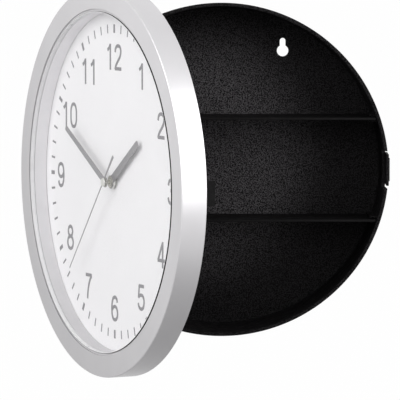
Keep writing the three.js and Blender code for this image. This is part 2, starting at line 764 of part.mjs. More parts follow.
function buildBattery() {
  const shoulder = batteryTip - batteryNubLength;
  const end = shoulder - batteryLength;
  const wrap = lying(batteryR, end, shoulder - batteryCapLength - seatGap, smallSides);
  const place = (shape) => shape.translate(0, batteryDepth, batteryZ);
  const cap = join(
    lying(batteryR, shoulder - batteryCapLength - seatGap, shoulder),
    lying(batteryNubR, shoulder - batteryNubLength, batteryTip, fineSides),
  );
  return piece("battery", join(place(wrap), cap.translate([0, batteryDepth, batteryZ])), batteryWrap);
}

function contactPlate(face) {
  return block([face, face + contactThick], [caseInside + seatGap, caseRear - caseWall],
    [batteryZ - contactHeight / 2, batteryZ + contactHeight / 2]);
}

function buildPositiveContact() {
  return piece("battery_contact_positive", contactPlate(contactFace), steel);
}

function buildNegativeContact() {
  const face = -contactFace - contactThick;
  const inner = -contactFace;
  const middle = batteryDepth;
  const reach = contactHeight / 2;
  const leaf = column(outlineOf([
    [face + contactThick / 2, middle - reach], [inner, middle - reach], [inner + contactBow, middle - reach / 2],
    [inner + contactBow, middle + reach / 2], [inner, middle + reach], [face + contactThick / 2, middle + reach],
    [inner + contactBow - contactThick, middle + reach / 2], [inner + contactBow - contactThick, middle - reach / 2],
  ]), batteryZ - contactHeight / 4, batteryZ + contactHeight / 4);
  return piece("battery_contact_negative", join(contactPlate(face), leaf), steel);
}

// Circuit board with its chip under a drop of resin and its crystal
function buildBoard() {
  const front = caseInside + hourLayer + seatGap;
  const rear = front + boardThick;
  const middle = (boardLow + boardHigh) / 2;
  const board = block([boardLeft, boardRight], [front, rear], [boardLow, boardHigh]);
  const chip = at(disc(chipR, rear - boardThick / 2, rear + chipTall, fineSides), [boardLeft + 2 * chipR, middle]);
  const crystal = upright(crystalR, middle - crystalLength / 2, middle + crystalLength / 2, fineSides)
    .translate(boardRight - 2 * crystalR, rear + crystalR / 2, 0);
  return piece("circuit_board", join(board, chip, crystal), boardGreen);
}

// Train plate
function buildTrainPlate() {
  const front = caseInside + plateLayer;
  const low = bayTop + bayWall + seatGap;
  const outline = outlineOf([
    [plateLeft, low], [plateRight, low], [plateRight, plateTop], [plateShoulder, plateTop], [plateShoulder, plateStep],
    [plateLeft, plateStep],
  ]);
  const plate = slab(outline, front, front + plateThick);
  const holes = [
    disc(secondArborR + runningGap, 0, caseRear, fineSides),
    at(disc(pivotR + runningGap, 0, caseRear, fineSides), intermediateAxis),
    at(disc(pivotR + runningGap, 0, caseRear, fineSides), rotorAxis),
  ];
  return piece("train_plate", cut(plate, ...holes), whitePlastic);
}

// Stator: one lamination with the rotor's hole, a shoulder and two legs that meet the coil's core
function buildStator() {
  const front = caseInside + plateLayer + plateThick + seatGap;
  const ys = [front, front + statorThick];
  const [rotorX, rotorZ] = rotorAxis;
  const top = coilZ + coreWide / 2;
  const poleTop = rotorZ + statorPole;
  const overlap = statorThick;
  const pole = block([rotorX - statorPole, statorRight], ys, [rotorZ - statorPole, poleTop]);
  const shoulder = block([statorLeft, rotorX], ys, [poleTop - overlap, poleTop + statorShoulder]);
  const leftLeg = block([statorLeft, statorLeft + statorLeg], ys, [poleTop, top]);
  const rightLeg = block([statorRight - statorLeg, statorRight], ys, [rotorZ, top]);
  const hole = at(disc(statorHoleR, 0, caseRear), rotorAxis);
  return piece("stator", cut(join(pole, shoulder, leftLeg, rightLeg), hole), steel);
}

function buildCoil() {
  const coreFront = caseInside + plateLayer + plateThick + seatGap + statorThick + seatGap;
  const middle = coreFront + coreThick / 2;
  const left = statorLeft + statorLeg + seatGap;
  const right = statorRight - statorLeg - seatGap;
  const core = block([statorLeft, statorRight], [coreFront, coreFront + coreThick], [coilZ - coreWide / 2,
    coilZ + coreWide / 2]);
  const place = (shape) => shape.translate(0, middle, coilZ);
  const winding = place(lying(coilR, left + coilFlangeThick / 2, right - coilFlangeThick / 2));
  const flanges = [left, right - coilFlangeThick].map((x) => place(lying(coilFlangeR, x, x + coilFlangeThick)));
  return piece("coil", join(core, winding, ...flanges), copper);
}

// Going train, driven by the rotor
const secondPhase = 0;
const intermediatePinionPhase = meshPhase(secondPhase, secondTeeth, intermediatePinionTeeth, centreAxis,
  intermediateAxis);
const intermediatePhase = intermediatePinionPhase;
const rotorPhase = meshPhase(intermediatePhase, intermediateTeeth, rotorTeeth, intermediateAxis, rotorAxis);
const thirdPhase = meshPhase(secondPhase, secondPinionTeeth, thirdTeeth, centreAxis, thirdAxis);
const centrePhase = meshPhase(thirdPhase, thirdPinionTeeth, centreTeeth, thirdAxis, centreAxis);

const layer = (offset) => caseInside + offset;
const pinionLayer = (offset) => layer(offset) - (pinionThick - wheelThick) / 2;
const pivotEnd = coverInside - seatGap;
const bossFace = coverInside - pivotBossTall;

function buildRotor() {
  const magnetFront = layer(plateLayer) + plateThick + seatGap;
  const pinionFront = pinionLayer(intermediateLayer);
  const rotor = join(
    at(disc(pivotR, layer(plateLayer), pivotEnd, fineSides), rotorAxis),
    at(disc(magnetR, magnetFront, magnetFront + magnetThick), rotorAxis),
    at(disc(arborR, magnetFront, bossFace - seatGap, fineSides), rotorAxis),
    at(gear(rotorTeeth, rotorModule, rotorPhase, pinionFront, pinionFront + pinionThick), rotorAxis),
  );
  return piece("rotor", rotor, steel);
}

function buildIntermediate() {
  const pinionFront = pinionLayer(secondLayer);
  const wheel = join(
    at(disc(pivotR, layer(plateLayer), pivotEnd, fineSides), intermediateAxis),
    at(disc(arborR, layer(plateLayer) + plateThick + seatGap, bossFace - seatGap, fineSides), intermediateAxis),
    at(gear(intermediatePinionTeeth, secondModule, intermediatePinionPhase, pinionFront, pinionFront + pinionThick),
      intermediateAxis),
    at(gear(intermediateTeeth, rotorModule, intermediatePhase, layer(intermediateLayer), layer(intermediateLayer)
      + wheelThick), intermediateAxis),
  );
  return piece("intermediate_wheel", wheel, whitePlastic);
}

function buildSecondWheel() {
  const pinionFront = pinionLayer(thirdLayer);
  const wheel = join(
    disc(secondArborR, dialDepth - secondHandHeight, layer(secondLayer), fineSides),
    disc(pivotR, layer(secondLayer), pivotEnd, fineSides),
    disc(arborR + runningGap, layer(thirdLayer), bossFace - seatGap, fineSides),
    gear(secondPinionTeeth, thirdModule, secondPhase, pinionFront, pinionFront + pinionThick),
    gear(secondTeeth, secondModule, secondPhase, layer(secondLayer), layer(secondLayer) + wheelThick),
  );
  return piece("second_wheel", wheel, whitePlastic);
}

function buildThirdWheel() {
  const pinionFront = pinionLayer(centreLayer);
  const wheel = join(
    at(disc(pivotR, layer(seatGap), pivotEnd, fineSides), thirdAxis),
    at(disc(arborR, layer(motionLayer) + seatGap, bossFace - seatGap, fineSides), thirdAxis),
    at(gear(thirdPinionTeeth, centreModule, thirdPhase, pinionFront, pinionFront + pinionThick), thirdAxis),
    at(gear(thirdTeeth, thirdModule, thirdPhase, layer(thirdLayer), layer(thirdLayer) + wheelThick), thirdAxis),
  );
  return piece("third_wheel", wheel, yellowPlastic);
}

function buildCentreWheel() {
  const wheel = cut(
    gear(centreTeeth, centreModule, centrePhase, layer(centreLayer), layer(centreLayer) + wheelThick),
    disc(minuteTubeR + runningGap, 0, caseRear),
  );
  return piece("centre_wheel", wheel, whitePlastic);
}

// Motion work, which carries the minute and hour hands
const cannonPhase = 0;
const minutePhase = meshPhase(cannonPhase, cannonTeeth, minuteTeeth, centreAxis, minuteAxis);
const hourPhase = meshPhase(minutePhase, minutePinionTeeth, hourTeeth, minuteAxis, centreAxis);
const knobPhase = meshPhase(minutePhase, minuteTeeth, cannonTeeth, minuteAxis, knobAxis);

function buildCannonPinion() {
  const front = dialDepth - minuteHandHeight - handThick / 2 - tubeProud;
  const pinionFront = pinionLayer(motionLayer);
  const rear = layer(plateLayer) - seatGap;
  const body = join(
    disc(minuteTubeR, front, rear),
    gear(cannonTeeth, motionModule, cannonPhase, pinionFront, pinionFront + pinionThick),
  );
  return piece("cannon_pinion", cut(body, disc(minuteTubeBoreR, 0, caseRear, fineSides)), brass);
}

function buildClutchSpring() {
  const front = layer(clutchLayer);
  return piece("clutch_spring", tube(clutchR, minuteTubeR + runningGap, front, front + clutchThick), steel);
}

function buildMinuteWheel() {
  const pinionFront = layer(hourLayer);
  const wheel = join(
    gear(minuteTeeth, motionModule, minutePhase, layer(motionLayer), layer(motionLayer) + wheelThick),
    gear(minutePinionTeeth, hourModule, minutePhase, pinionFront, layer(motionLayer) + wheelThick / 2),
  );
  const bored = cut(wheel, disc(minutePostR + runningGap, 0, caseRear, fineSides));
  return piece("minute_wheel", bored.translate([minuteAxis[0], 0, minuteAxis[1]]), whitePlastic);
}

function buildHourWheel() {
  const front = dialDepth - hourHandHeight - handThick / 2 - tubeProud;
  const body = join(
    disc(hourTubeR, front, layer(hourLayer) + wheelThick),
    gear(hourTeeth, hourModule, hourPhase, layer(hourLayer), layer(hourLayer) + wheelThick),
  );
  return piece("hour_wheel", cut(body, disc(hourTubeBoreR, 0, caseRear)), whitePlastic);
}

function buildSettingKnob() {
  const pinionFront = pinionLayer(motionLayer);
  const head = caseRear + seatGap;
  const flutes = Array.from({ length: knobFlutes }, (_, n) => at(disc(knobFluteR, head - cutOverrun, head + knobThick
    + cutOverrun, fineSides / 2), polar(knobR, (360 * n) / knobFlutes)));
  const knob = join(
    disc(knobStemR, layer(seatGap) - caseFront / 2 + seatGap, head + knobThick / 2),
    gear(cannonTeeth, motionModule, knobPhase, pinionFront, pinionFront + pinionThick),
    cut(disc(knobR, head, head + knobThick, 2 * knobFlutes), ...flutes),
  );
  return piece("setting_knob", knob.translate([knobAxis[0], 0, knobAxis[1]]), whitePlastic);
}

// Hands. Each is drawn pointing at twelve and turned to its hour.
function handBlade(length, tail, width) {
  const half = width / 2;
  const tip = half * handTaperShare;
  return outlineOf([[-half, -tail], [half, -tail], [tip, length], [-tip, length]]);
}

function buildHand(name, { height, angle, length, width, hubR, bore }) {
  const front = dialDepth - height - handThick / 2;
  const rear = front + handThick;
  const blade = slab(handBlade(length, 0, width), front, rear);
  const hand = cut(join(blade, disc(hubR, front, rear)), disc(bore + runningGap, 0, dialDepth));
  const mesh = piece(name, hand, greyHand);
  mesh.rotation.y = degrees(angle);
  return mesh;
}

function buildSecondHand() {
  const front = dialDepth - secondHandHeight - secondHandThick / 2;
  const rear = front + secondHandThick;
  const blade = slab(handBlade(secondHandLength, secondHandTail, secondHandWide), front, rear);
  const hub = disc(secondHandHubR, front - tubeProud, rear + secondHubDeep);
  const bore = disc(secondArborR + runningGap, front - tubeProud / 2, dialDepth, fineSides);
  const mesh = piece("second_hand", cut(join(blade, hub), bore), greyHand);
  mesh.rotation.y = degrees(secondHandAngle);
  return mesh;
}

const hourHand = {
  height: hourHandHeight, angle: hourHandAngle, length: hourHandLength, width: hourHandWide,
  hubR: hourHandHubR, bore: hourTubeR,
};
const minuteHand = {
  height: minuteHandHeight, angle: minuteHandAngle, length: minuteHandLength, width: minuteHandWide,
  hubR: minuteHandHubR, bore: minuteTubeR,
};

// Assembly
const dialGroup = new THREE.Group();
dialGroup.position.set(-hingeX, frontY - hingeY, 0);
dialGroup.add(
  buildRing(), buildLens(), buildSpacer(), buildDial(), buildDoorBack(), ...buildScrews(),
  buildNut(), buildNutWasher(), buildPad(),
  buildMovementBase(), buildMovementCover(), buildBattery(), buildPositiveContact(), buildNegativeContact(),
  buildBoard(), buildTrainPlate(), buildStator(), buildCoil(),
  buildRotor(), buildIntermediate(), buildSecondWheel(), buildThirdWheel(), buildCentreWheel(),
  buildCannonPinion(), buildClutchSpring(), buildMinuteWheel(), buildHourWheel(), buildSettingKnob(),
  buildHand("hour_hand", hourHand), buildHand("minute_hand", minuteHand),
  buildSecondHand(),
);

const door = new THREE.Group();
door.position.set(hingeX, hingeY, 0);
door.rotation.z = -degrees(restOpening);
door.add(dialGroup);

const safe = new THREE.Group();
safe.add(
  buildTray(), buildShelf("upper_shelf", shelfZ), buildShelf("lower_shelf", -shelfZ), buildTongue(), buildHingePin(),
  door,
);

export default safe;
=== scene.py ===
"""Dresses a clock diversion safe: a round wall clock whose face is a door over a shelved tray.

Every new piece is modelled in millimetres in straight axes, the tray's or the closed door's, and is then
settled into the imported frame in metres. Sizes come from the frame where a node's box gives them.
"""

import json
import logging
import math
from dataclasses import dataclass, field
from enum import Enum
from functools import cached_property
from typing import Iterable, Sequence

import bpy
from mathutils import Matrix, Vector


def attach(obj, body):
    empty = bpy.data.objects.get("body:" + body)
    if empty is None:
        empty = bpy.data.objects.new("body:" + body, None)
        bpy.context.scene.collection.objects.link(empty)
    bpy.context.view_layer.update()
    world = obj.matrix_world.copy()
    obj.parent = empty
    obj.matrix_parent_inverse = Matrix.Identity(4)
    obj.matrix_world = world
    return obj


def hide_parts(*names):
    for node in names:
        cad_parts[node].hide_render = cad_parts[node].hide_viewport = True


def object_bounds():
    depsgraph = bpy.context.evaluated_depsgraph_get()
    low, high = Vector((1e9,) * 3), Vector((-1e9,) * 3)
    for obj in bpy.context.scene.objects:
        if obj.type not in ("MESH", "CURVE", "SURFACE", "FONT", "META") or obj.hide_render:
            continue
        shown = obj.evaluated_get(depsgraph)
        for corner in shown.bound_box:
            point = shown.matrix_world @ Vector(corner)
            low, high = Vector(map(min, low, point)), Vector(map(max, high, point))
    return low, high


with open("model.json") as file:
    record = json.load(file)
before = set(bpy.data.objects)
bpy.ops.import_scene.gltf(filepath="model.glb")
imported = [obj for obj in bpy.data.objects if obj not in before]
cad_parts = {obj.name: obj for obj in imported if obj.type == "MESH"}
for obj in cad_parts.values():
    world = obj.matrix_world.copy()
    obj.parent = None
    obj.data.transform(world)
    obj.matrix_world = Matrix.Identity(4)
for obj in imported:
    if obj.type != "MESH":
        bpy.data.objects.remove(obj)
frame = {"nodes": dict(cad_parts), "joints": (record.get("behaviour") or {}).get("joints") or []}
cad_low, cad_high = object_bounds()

log = logging.getLogger("clock_safe")

MM = 0.001
PHOTO_PIXELS = 400
WHOLE_TURN = 2 * math.pi
RIM_SIDES = 256
SMALL_SIDES = 48
SMOOTH_ANGLE = math.radians(35)
BEVEL_ANGLE = math.radians(40)
HAIR = 0.01  # the gap between two surfaces that would otherwise share a place, in millimetres
OVER = 1.0  # how far a cutter or a joined piece reaches past a face, in millimetres
NEAR = 0.1  # how near to a face a corner still counts as lying on it, in millimetres
TIP_SHARE = 0.99  # the share of a hand's length from which a corner belongs to its tip
HEX = 6
WORN_SHARE, WORN_LIFT = 1.35, 0.03  # how worn edges are paler than their colour
WAVE_SCALE = 20  # what the wave texture multiplies every place by
WHITE = (1.0, 1.0, 1.0, 1.0)

Place = tuple[float, float, float]
Pair = tuple[float, float]
Piece = bpy.types.Object
Socket = bpy.types.NodeSocket
Input = Socket | Sequence[float] | float


class Axis(Enum):
    """The axis that a piece is spun about or drawn out along."""

    X = 0
    DEPTH = 1
    Z = 2

    def step(self, length: float) -> Vector:
        """A step of that length along the axis."""
        return Vector(length * (axis is self) for axis in Axis)

    @property
    def facing(self) -> Place:
        """The turn that makes a new circle face along the axis."""
        quarter = math.pi / 2
        return {Axis.X: (0.0, quarter, 0.0), Axis.DEPTH: (-quarter, 0.0, 0.0), Axis.Z: (0.0, 0.0, 0.0)}[self]


class Body(Enum):
    """The bodies that the new pieces ride on."""

    SAFE = "safe_body"
    LATCH = "latch"
    DOOR = "door"
    SECOND = "second_train"
    MINUTE = "minute_train"
    HOUR = "hour_train"

    @property
    def axes(self) -> "Axes":
        """The axes in which the body's pieces are modelled."""
        return TRAY if self in (Body.SAFE, Body.LATCH) else DOOR


# Finishes
class Recipe:
    """Lays out the nodes of a material or of the world."""

    def __init__(self, owner: bpy.types.Material | bpy.types.World) -> None:
        """Starts with no nodes.

        Args:
            owner: The material or the world.
        """
        owner.use_nodes = True
        self.owner = owner
        self.tree = owner.node_tree
        self.tree.nodes.clear()

    @cached_property
    def place(self) -> Socket:
        """The place in the piece's mesh, in metres."""
        return self.node("TexCoord").outputs["Object"]

    def node(self, kind: str, settings: dict[str, object] | None = None, *values: Input,
             **inputs: Input) -> bpy.types.Node:
        """Adds a node.

        Args:
            kind: The node's type, without the word ShaderNode.
            settings: Properties of the node itself.
            *values: Values or sockets for its first inputs, in their order.
            **inputs: Values or sockets for other inputs, by name with underscores for spaces.

        Returns:
            The new node.
        """
        made = self.tree.nodes.new("ShaderNode" + kind)
        for key, value in (settings or {}).items():
            setattr(made, key, value)
        named = ((made.inputs[key.replace("_", " ")], value) for key, value in inputs.items())
        for socket, value in (*zip(made.inputs, values), *named):
            self.feed(socket, value)
        return made

    def feed(self, socket: Socket, value: Input) -> None:
        """Links an input to another socket, or sets its own value.

        Args:
            socket: The input.
            value: A socket, or a plain value.
        """
        if isinstance(value, Socket):
            self.tree.links.new(value, socket)
        else:
            socket.default_value = value

    def surface(self, shader: Socket) -> None:
        """Makes a shader the surface of the material or the world."""
        kind = "World" if isinstance(self.owner, bpy.types.World) else "Material"
        self.node("Output" + kind, None, shader)

    def sum(self, operation: str, first: Input, second: Input, clamp: bool = False) -> Socket:
        """Works out one number from two, if clamped one between 0 and 1."""
        return self.node("Math", {"operation": operation, "use_clamp": clamp}, first, second).outputs[0]

    def vector(self, operation: str, *values: Input, **inputs: Input) -> Socket:
        """Works out a vector, or a number where the operation gives one."""
        made = self.node("VectorMath", {"operation": operation}, *values, **inputs)
        return made.outputs["Value" if operation in ("DOT_PRODUCT", "DISTANCE", "LENGTH") else "Vector"]

    def noise(self, size: float, detail: float = 4.0, stretch: Place | None = None) -> Socket:
        """A cloudy pattern about 0.5, its grain so many millimetres wide and finer where it is stretched."""
        place = self.node("Mapping", Vector=self.place, Scale=stretch).outputs[0] if stretch else self.place
        return self.node("TexNoise", Vector=place, Scale=1 / (size * MM), Detail=detail).outputs["Fac"]

    def ramp(self, value: Socket, near: float, far: float, low: float, high: float,
             kind: str = "LINEAR") -> Socket:
        """Turns a number that goes from near to far into one that goes from low to high, and no further."""
        return self.node("MapRange", {"interpolation_type": kind}, value, near, far, low, high).outputs[0]

    def spread(self, pattern: Socket, low: float, high: float, span: float = 0.2) -> Socket:
        """Stretches a pattern, from span below its middle to span above, over two values."""
        return self.ramp(pattern, 0.5 - span, 0.5 + span, low, high)

    def blend(self, share: Input, first: Input, second: Input) -> Socket:
        """Mixes two colours.

        Args:
            share: How much of the second shows.
            first: A colour or socket.
            second: A colour or socket.

        Returns:
            The mixed colour's socket.
        """
        made = self.node("Mix", {"data_type": "RGBA"})
        sockets = (made.inputs[0], *(socket for socket in made.inputs if socket.type == "RGBA"))
        for socket, value in zip(sockets, (share, first, second)):
            self.feed(socket, (*value, 1.0) if isinstance(value, tuple) else value)
        return next(socket for socket in made.outputs if socket.type == "RGBA")

    def edges(self, width: float) -> Socket:
        """Finds the piece's edges.

        Args:
            width: How far from an edge the mask reaches, in millimetres.

        Returns:
            A mask, 1 on edges and 0 on flats.
        """
        contrast = 5.0
        eased = self.node("Bevel", {"samples": 4}, Radius=width * MM).outputs["Normal"]
        flatness = self.vector("DOT_PRODUCT", eased, self.node("NewGeometry").outputs["Normal"])
        return self.sum("MULTIPLY", self.sum("SUBTRACT", 1.0, flatness), contrast, clamp=True)

    def seen(self, *rays: str) -> Socket:
        """A mask of the rays that see the background.

        Args:
            *rays: The kinds of ray, such as Camera.

        Returns:
            The mask's socket.
        """
        path = self.node("LightPath")
        first, *rest = (path.outputs[f"Is {ray} Ray"] for ray in rays)
        for ray in rest:
            first = self.sum("MAXIMUM", first, ray)
        return first


@dataclass(frozen=True)
class Fade:
    """Painted light and shade: a slow change of tone along a line, in metres in the tray's axes at rest."""

    start: Place
    end: Place
    first: float
    last: float

    def level(self, recipe: Recipe) -> Socket:
        """The tone at each place.

        Args:
            recipe: The material being laid out.

        Returns:
            The tone's socket.
        """
        line = Vector(self.end) - Vector(self.start)
        offset = recipe.vector("SUBTRACT", recipe.place, self.start)
        share = recipe.vector("DOT_PRODUCT", offset, line / line.length_squared)
        return recipe.ramp(share, 0.0, 1.0, self.first, self.last)


@dataclass(frozen=True)
class Pool:
    """Painted light: a slow change of tone all round a place, from near to far away from it, in metres at
    rest.
    """

    centre: Place
    near: float
    far: float
    first: float
    last: float

    def level(self, recipe: Recipe) -> Socket:
        """The tone at each place."""
        reach = recipe.vector("DISTANCE", recipe.place, self.centre)
        return recipe.ramp(reach, self.near, self.far, self.first, self.last, "SMOOTHSTEP")


@dataclass(frozen=True)
class Finish:
    """A surface finish.

    Attributes:
        name: The material's name.
        slot: The record's slot; not used.
        colour: Its colour.
        roughness: Its roughness.
        mottle: The share and the size in millimetres of its cloudiness.
        grain: The size and the depth of its grain.
        wear: The share and the width of the wear on its edges.
        gloss: The share and the size of the changes of its roughness.
        metallic: How far it is a metal.
        coat: Its clear coat.
        shine: Its specular level.
        span: How much of the cloudy pattern's range is stretched.
        fade: Painted light and shade, a slow change of its tone.
    """

    name: str
    slot: str
    colour: Place
    roughness: float
    mottle: Pair = (0.06, 14.0)
    grain: Pair = (0.5, 0.01)
    wear: Pair = (0.25, 0.3)
    gloss: Pair = (0.18, 6.0)
    metallic: float = 0.0
    coat: float = 0.0
    shine: float = 0.5
    span: float = 0.2
    fade: Fade | Pool | None = None

    def relief(self, recipe: Recipe) -> Socket:
        """The grain's height."""
        return recipe.noise(self.grain[0])

    def normal(self, recipe: Recipe, strength: float = 1.0) -> Socket:
        """The surface's direction with its grain."""
        height, depth = self.relief(recipe), self.grain[1] * MM
        return recipe.node("Bump", Height=height, Distance=depth, Strength=strength).outputs["Normal"]

    def tint(self, recipe: Recipe) -> Socket:
        """The colour with its cloudiness and its painted light and shade.

        Args:
            recipe: The material being laid out.

        Returns:
            The colour's socket.
        """
        share, size = self.mottle
        dark, light = (tuple(min(1.0, c * (1 + way * share)) for c in self.colour) for way in (-1, 1))
        tint = recipe.blend(recipe.spread(recipe.noise(size, 5.0), 0.0, 1.0, self.span), dark, light)
        # Painted light and shade: the tone is multiplied by the fade's level at each place.
        return recipe.vector("SCALE", tint, Scale=self.fade.level(recipe)) if self.fade else tint

    def shader(self, recipe: Recipe) -> bpy.types.Node:
        """The surface, worn at its edges.

        Args:
            recipe: The material being laid out.

        Returns:
            The shader's node.
        """
        share, size = self.gloss
        low, high = self.roughness * (1 - share), min(1.0, self.roughness * (1 + share))
        worn = tuple(min(1.0, c * WORN_SHARE + WORN_LIFT) for c in self.colour)
        edge = recipe.sum("MULTIPLY", recipe.edges(self.wear[1]), self.wear[0])
        return recipe.node(
            "BsdfPrincipled", Base_Color=recipe.blend(edge, self.tint(recipe), worn), Metallic=self.metallic,
            Roughness=recipe.spread(recipe.noise(size), low, high), Coat_Weight=self.coat,
            Specular_IOR_Level=self.shine, Normal=self.normal(recipe))

    def material(self) -> bpy.types.Material:
        """Makes the material, or finds it if it was made before.

        Returns:
            The material.
        """
        if self.name in bpy.data.materials:
            return bpy.data.materials[self.name]
        recipe = Recipe(bpy.data.materials.new(self.name))
        recipe.surface(self.shader(recipe).outputs["BSDF"])
        return recipe.owner


@dataclass(frozen=True)
class Pebbled(Finish):
    """Moulded plastic with the fine pebble grain of a spark-eroded mould."""

    pebble: float = 1.0
    grit: float = 0.6

    def relief(self, recipe: Recipe) -> Socket:
        """The height of rounded pebbles with a little noise over them.

        Args:
            recipe: The material being laid out.

        Returns:
            The height's socket.
        """
        cells = recipe.node("TexVoronoi", {"feature": "SMOOTH_F1"}, Vector=recipe.place,
                            Scale=1 / (self.pebble * MM), Smoothness=0.5, Randomness=1.0)
        pebbles = recipe.sum("SUBTRACT", 1.0, cells.outputs["Distance"])
        return recipe.sum("ADD", pebbles, recipe.sum("MULTIPLY", recipe.noise(self.grain[0]), self.grit))


@dataclass(frozen=True)
class Brushed(Finish):
    """Metal or paint with fine straight lines."""

    stretch: Place = (1.0, 1.0, 30.0)
    widening: float = 10.0
    detail: float = 6.0

    def relief(self, recipe: Recipe) -> Socket:
        """The height of noise drawn out into lines."""
        return recipe.noise(self.grain[0] * self.widening, self.detail, self.stretch)


@dataclass(frozen=True)
class Wound(Finish):
    """Turns of enamelled wire round a coil."""

    wire: float = 0.22
    turn: float = 0.0
    wander: float = 0.6

    def relief(self, recipe: Recipe) -> Socket:
        """The height of fine even ridges across the coil's length.

        Args:
            recipe: The material being laid out.

        Returns:
            The height's socket.
        """
        along = recipe.node("Mapping", Vector=recipe.place, Rotation=(0.0, 0.0, self.turn)).outputs["Vector"]
        waves = recipe.node("TexWave", {"wave_type": "BANDS", "bands_direction": "X"}, Vector=along,
                            Scale=WHOLE_TURN / (WAVE_SCALE * self.wire * MM), Distortion=self.wander)
        return waves.outputs["Fac"]


@dataclass(frozen=True)
class Clear(Finish):
    """Clear moulded sheet that lets light and shadow rays through."""

    clearness: float = 0.92
    smear: Pair = (0.6, 1.6)
    ripple: float = 0.4

    def shader(self, recipe: Recipe) -> bpy.types.Node:
        """The see-through surface, smeared a little."""
        gloss = recipe.spread(recipe.noise(self.gloss[1]), *(self.roughness * s for s in self.smear))
        return recipe.node("BsdfPrincipled", Base_Color=self.tint(recipe), Roughness=gloss,
                           Alpha=1 - self.clearness, Specular_IOR_Level=self.shine,
                           Normal=self.normal(recipe, self.ripple))


# Painted shade and light: the silver ring's fade makes it darker towards its lower hinge side and lighter
# towards its upper free side.
SILVER_PAINT = Finish(
    "silver_paint_finish", "silver_paint", (0.565, 0.556, 0.57), 0.33, mottle=(0.025, 30), grain=(2, 0.0001),
    wear=(0.2, 0.25), gloss=(0.1, 60), metallic=0.72,
    fade=Fade((-0.118, -0.093, -0.084), (-0.055, -0.222, 0.103), 0.82, 1.14))
# Painted light and shade: the tray's pool makes it lighter round a place a little left of the middle of its
# back and darker further from it, out to its rim; its strong mottle is partly the grain's own tone and partly
# painted glints.
CASE_BLACK = Pebbled(
    "black_grain", "black_plastic", (0.043, 0.0406, 0.043), 0.5, mottle=(0.9, 0.75), grain=(0.4, 0.4),
    wear=(0.03, 0.3), span=0.08, shine=0.03, pebble=1.1,
    fade=Pool((-0.028, 0.0, 0.0075), 0.05, 0.108, 1.15, 0.24))
BACK_BLACK = Pebbled(
    "black_fine_grain", "black_plastic", (0.0055, 0.0052, 0.0055), 0.5, mottle=(0.3, 2), grain=(0.3, 0.12),
    wear=(0.06, 0.3), shine=0.06, pebble=0.6)
DIAL_WHITE = Finish(
    "dial_card", "dial_face", (0.895, 0.885, 0.9), 0.62, mottle=(0.012, 22), grain=(0.25, 0.004),
    wear=(0, 0.3))
# Painted shade and light: the spacer's fade makes its wall darker towards the bottom and lighter towards the
# top.
SPACER_GREY = Finish(
    "spacer_grey", "grey_plastic", (0.67, 0.66, 0.675), 0.45, mottle=(0.03, 14), grain=(0.4, 0.008),
    wear=(0.4, 0.4), fade=Fade((0.0, 0.0, -0.09), (0.0, 0.0, 0.1), 0.86, 1.3))
PRINT_GREY = Finish(
    "print_ink", "hand_grey", (0.234, 0.227, 0.239), 0.55, mottle=(0.1, 1.5), grain=(0.15, 0.004),
    wear=(0, 0.3))
SEAL_DARK = Finish(
    "seal_dark", "rubber", (0.012, 0.0115, 0.012), 0.6, mottle=(0.1, 14), grain=(0.3, 0.01), wear=(0.1, 0.3),
    shine=0.15)
GASKET_GREY = Finish(
    "gasket_grey", "grey_plastic", (0.58, 0.57, 0.585), 0.6, mottle=(0.08, 14), grain=(0.3, 0.01),
    wear=(0.1, 0.3), shine=0.3)
LENS_EDGE = Finish(
    "lens_edge_pale", "clear_lens", (0.74, 0.735, 0.745), 0.3, mottle=(0.02, 14), grain=(0.5, 0.004),
    wear=(0.1, 0.3))
LENS_CLEAR = Clear(
    "lens_clear", "clear_lens", (0.6, 0.61, 0.62), 0.05, mottle=(0.01, 14), grain=(12, 0.02), clearness=0.955)
HAND_GREY = Brushed(
    "hand_satin", "hand_grey", (0.285, 0.278, 0.288), 0.42, mottle=(0.08, 6), grain=(0.05, 0.003),
    wear=(0.3, 0.12), metallic=0.3)
NICKEL = Finish(
    "nickel", "steel", (0.66, 0.66, 0.63), 0.3, mottle=(0.06, 4), grain=(0.2, 0.004), wear=(0.4, 0.15),
    metallic=0.8)
PALE_BRASS = Finish(
    "pale_brass", "brass", (0.47, 0.46, 0.41), 0.32, mottle=(0.08, 3), grain=(0.2, 0.005), wear=(0.4, 0.15),
    metallic=0.8)
STEEL = Brushed(
    "steel_bright", "steel", (0.52, 0.52, 0.53), 0.34, mottle=(0.08, 5), grain=(0.06, 0.003),
    wear=(0.3, 0.12),
    metallic=1.0)
RUBBER = Finish(
    "rubber_black", "rubber", (0.018, 0.018, 0.019), 0.85, mottle=(0.2, 14), grain=(0.25, 0.03),
    wear=(0.2, 0.3))
MOVEMENT_BLACK = Finish(
    "movement_black", "case_plastic", (0.022, 0.022, 0.024), 0.45, mottle=(0.12, 9), grain=(0.3, 0.02),
    wear=(0.35, 0.3))
WHITE_NYLON = Finish(
    "white_nylon", "white_plastic", (0.8, 0.8, 0.76), 0.5, mottle=(0.04, 3), grain=(0.2, 0.008),
    wear=(0.1, 0.08))
YELLOW_NYLON = Finish(
    "yellow_nylon", "yellow_plastic", (0.68, 0.55, 0.17), 0.5, mottle=(0.06, 3), grain=(0.2, 0.008),
    wear=(0.1, 0.08))
COPPER_WIRE = Wound(
    "copper_wire", "coil_copper", (0.5, 0.2, 0.08), 0.36, mottle=(0.1, 2), grain=(0.5, 0.05), wear=(0.1, 0.3),
    metallic=0.85, turn=math.radians(64))
BOARD_GREEN = Finish(
    "board_green", "board_green", (0.03, 0.17, 0.08), 0.4, mottle=(0.2, 1.5), grain=(0.5, 0.02),
    wear=(0.2, 0.1))
BATTERY_BLUE = Finish(
    "battery_blue", "battery_wrap", (0.02, 0.05, 0.16), 0.35, mottle=(0.08, 8), grain=(0.4, 0.006),
    wear=(0.3, 0.3), coat=0.3)


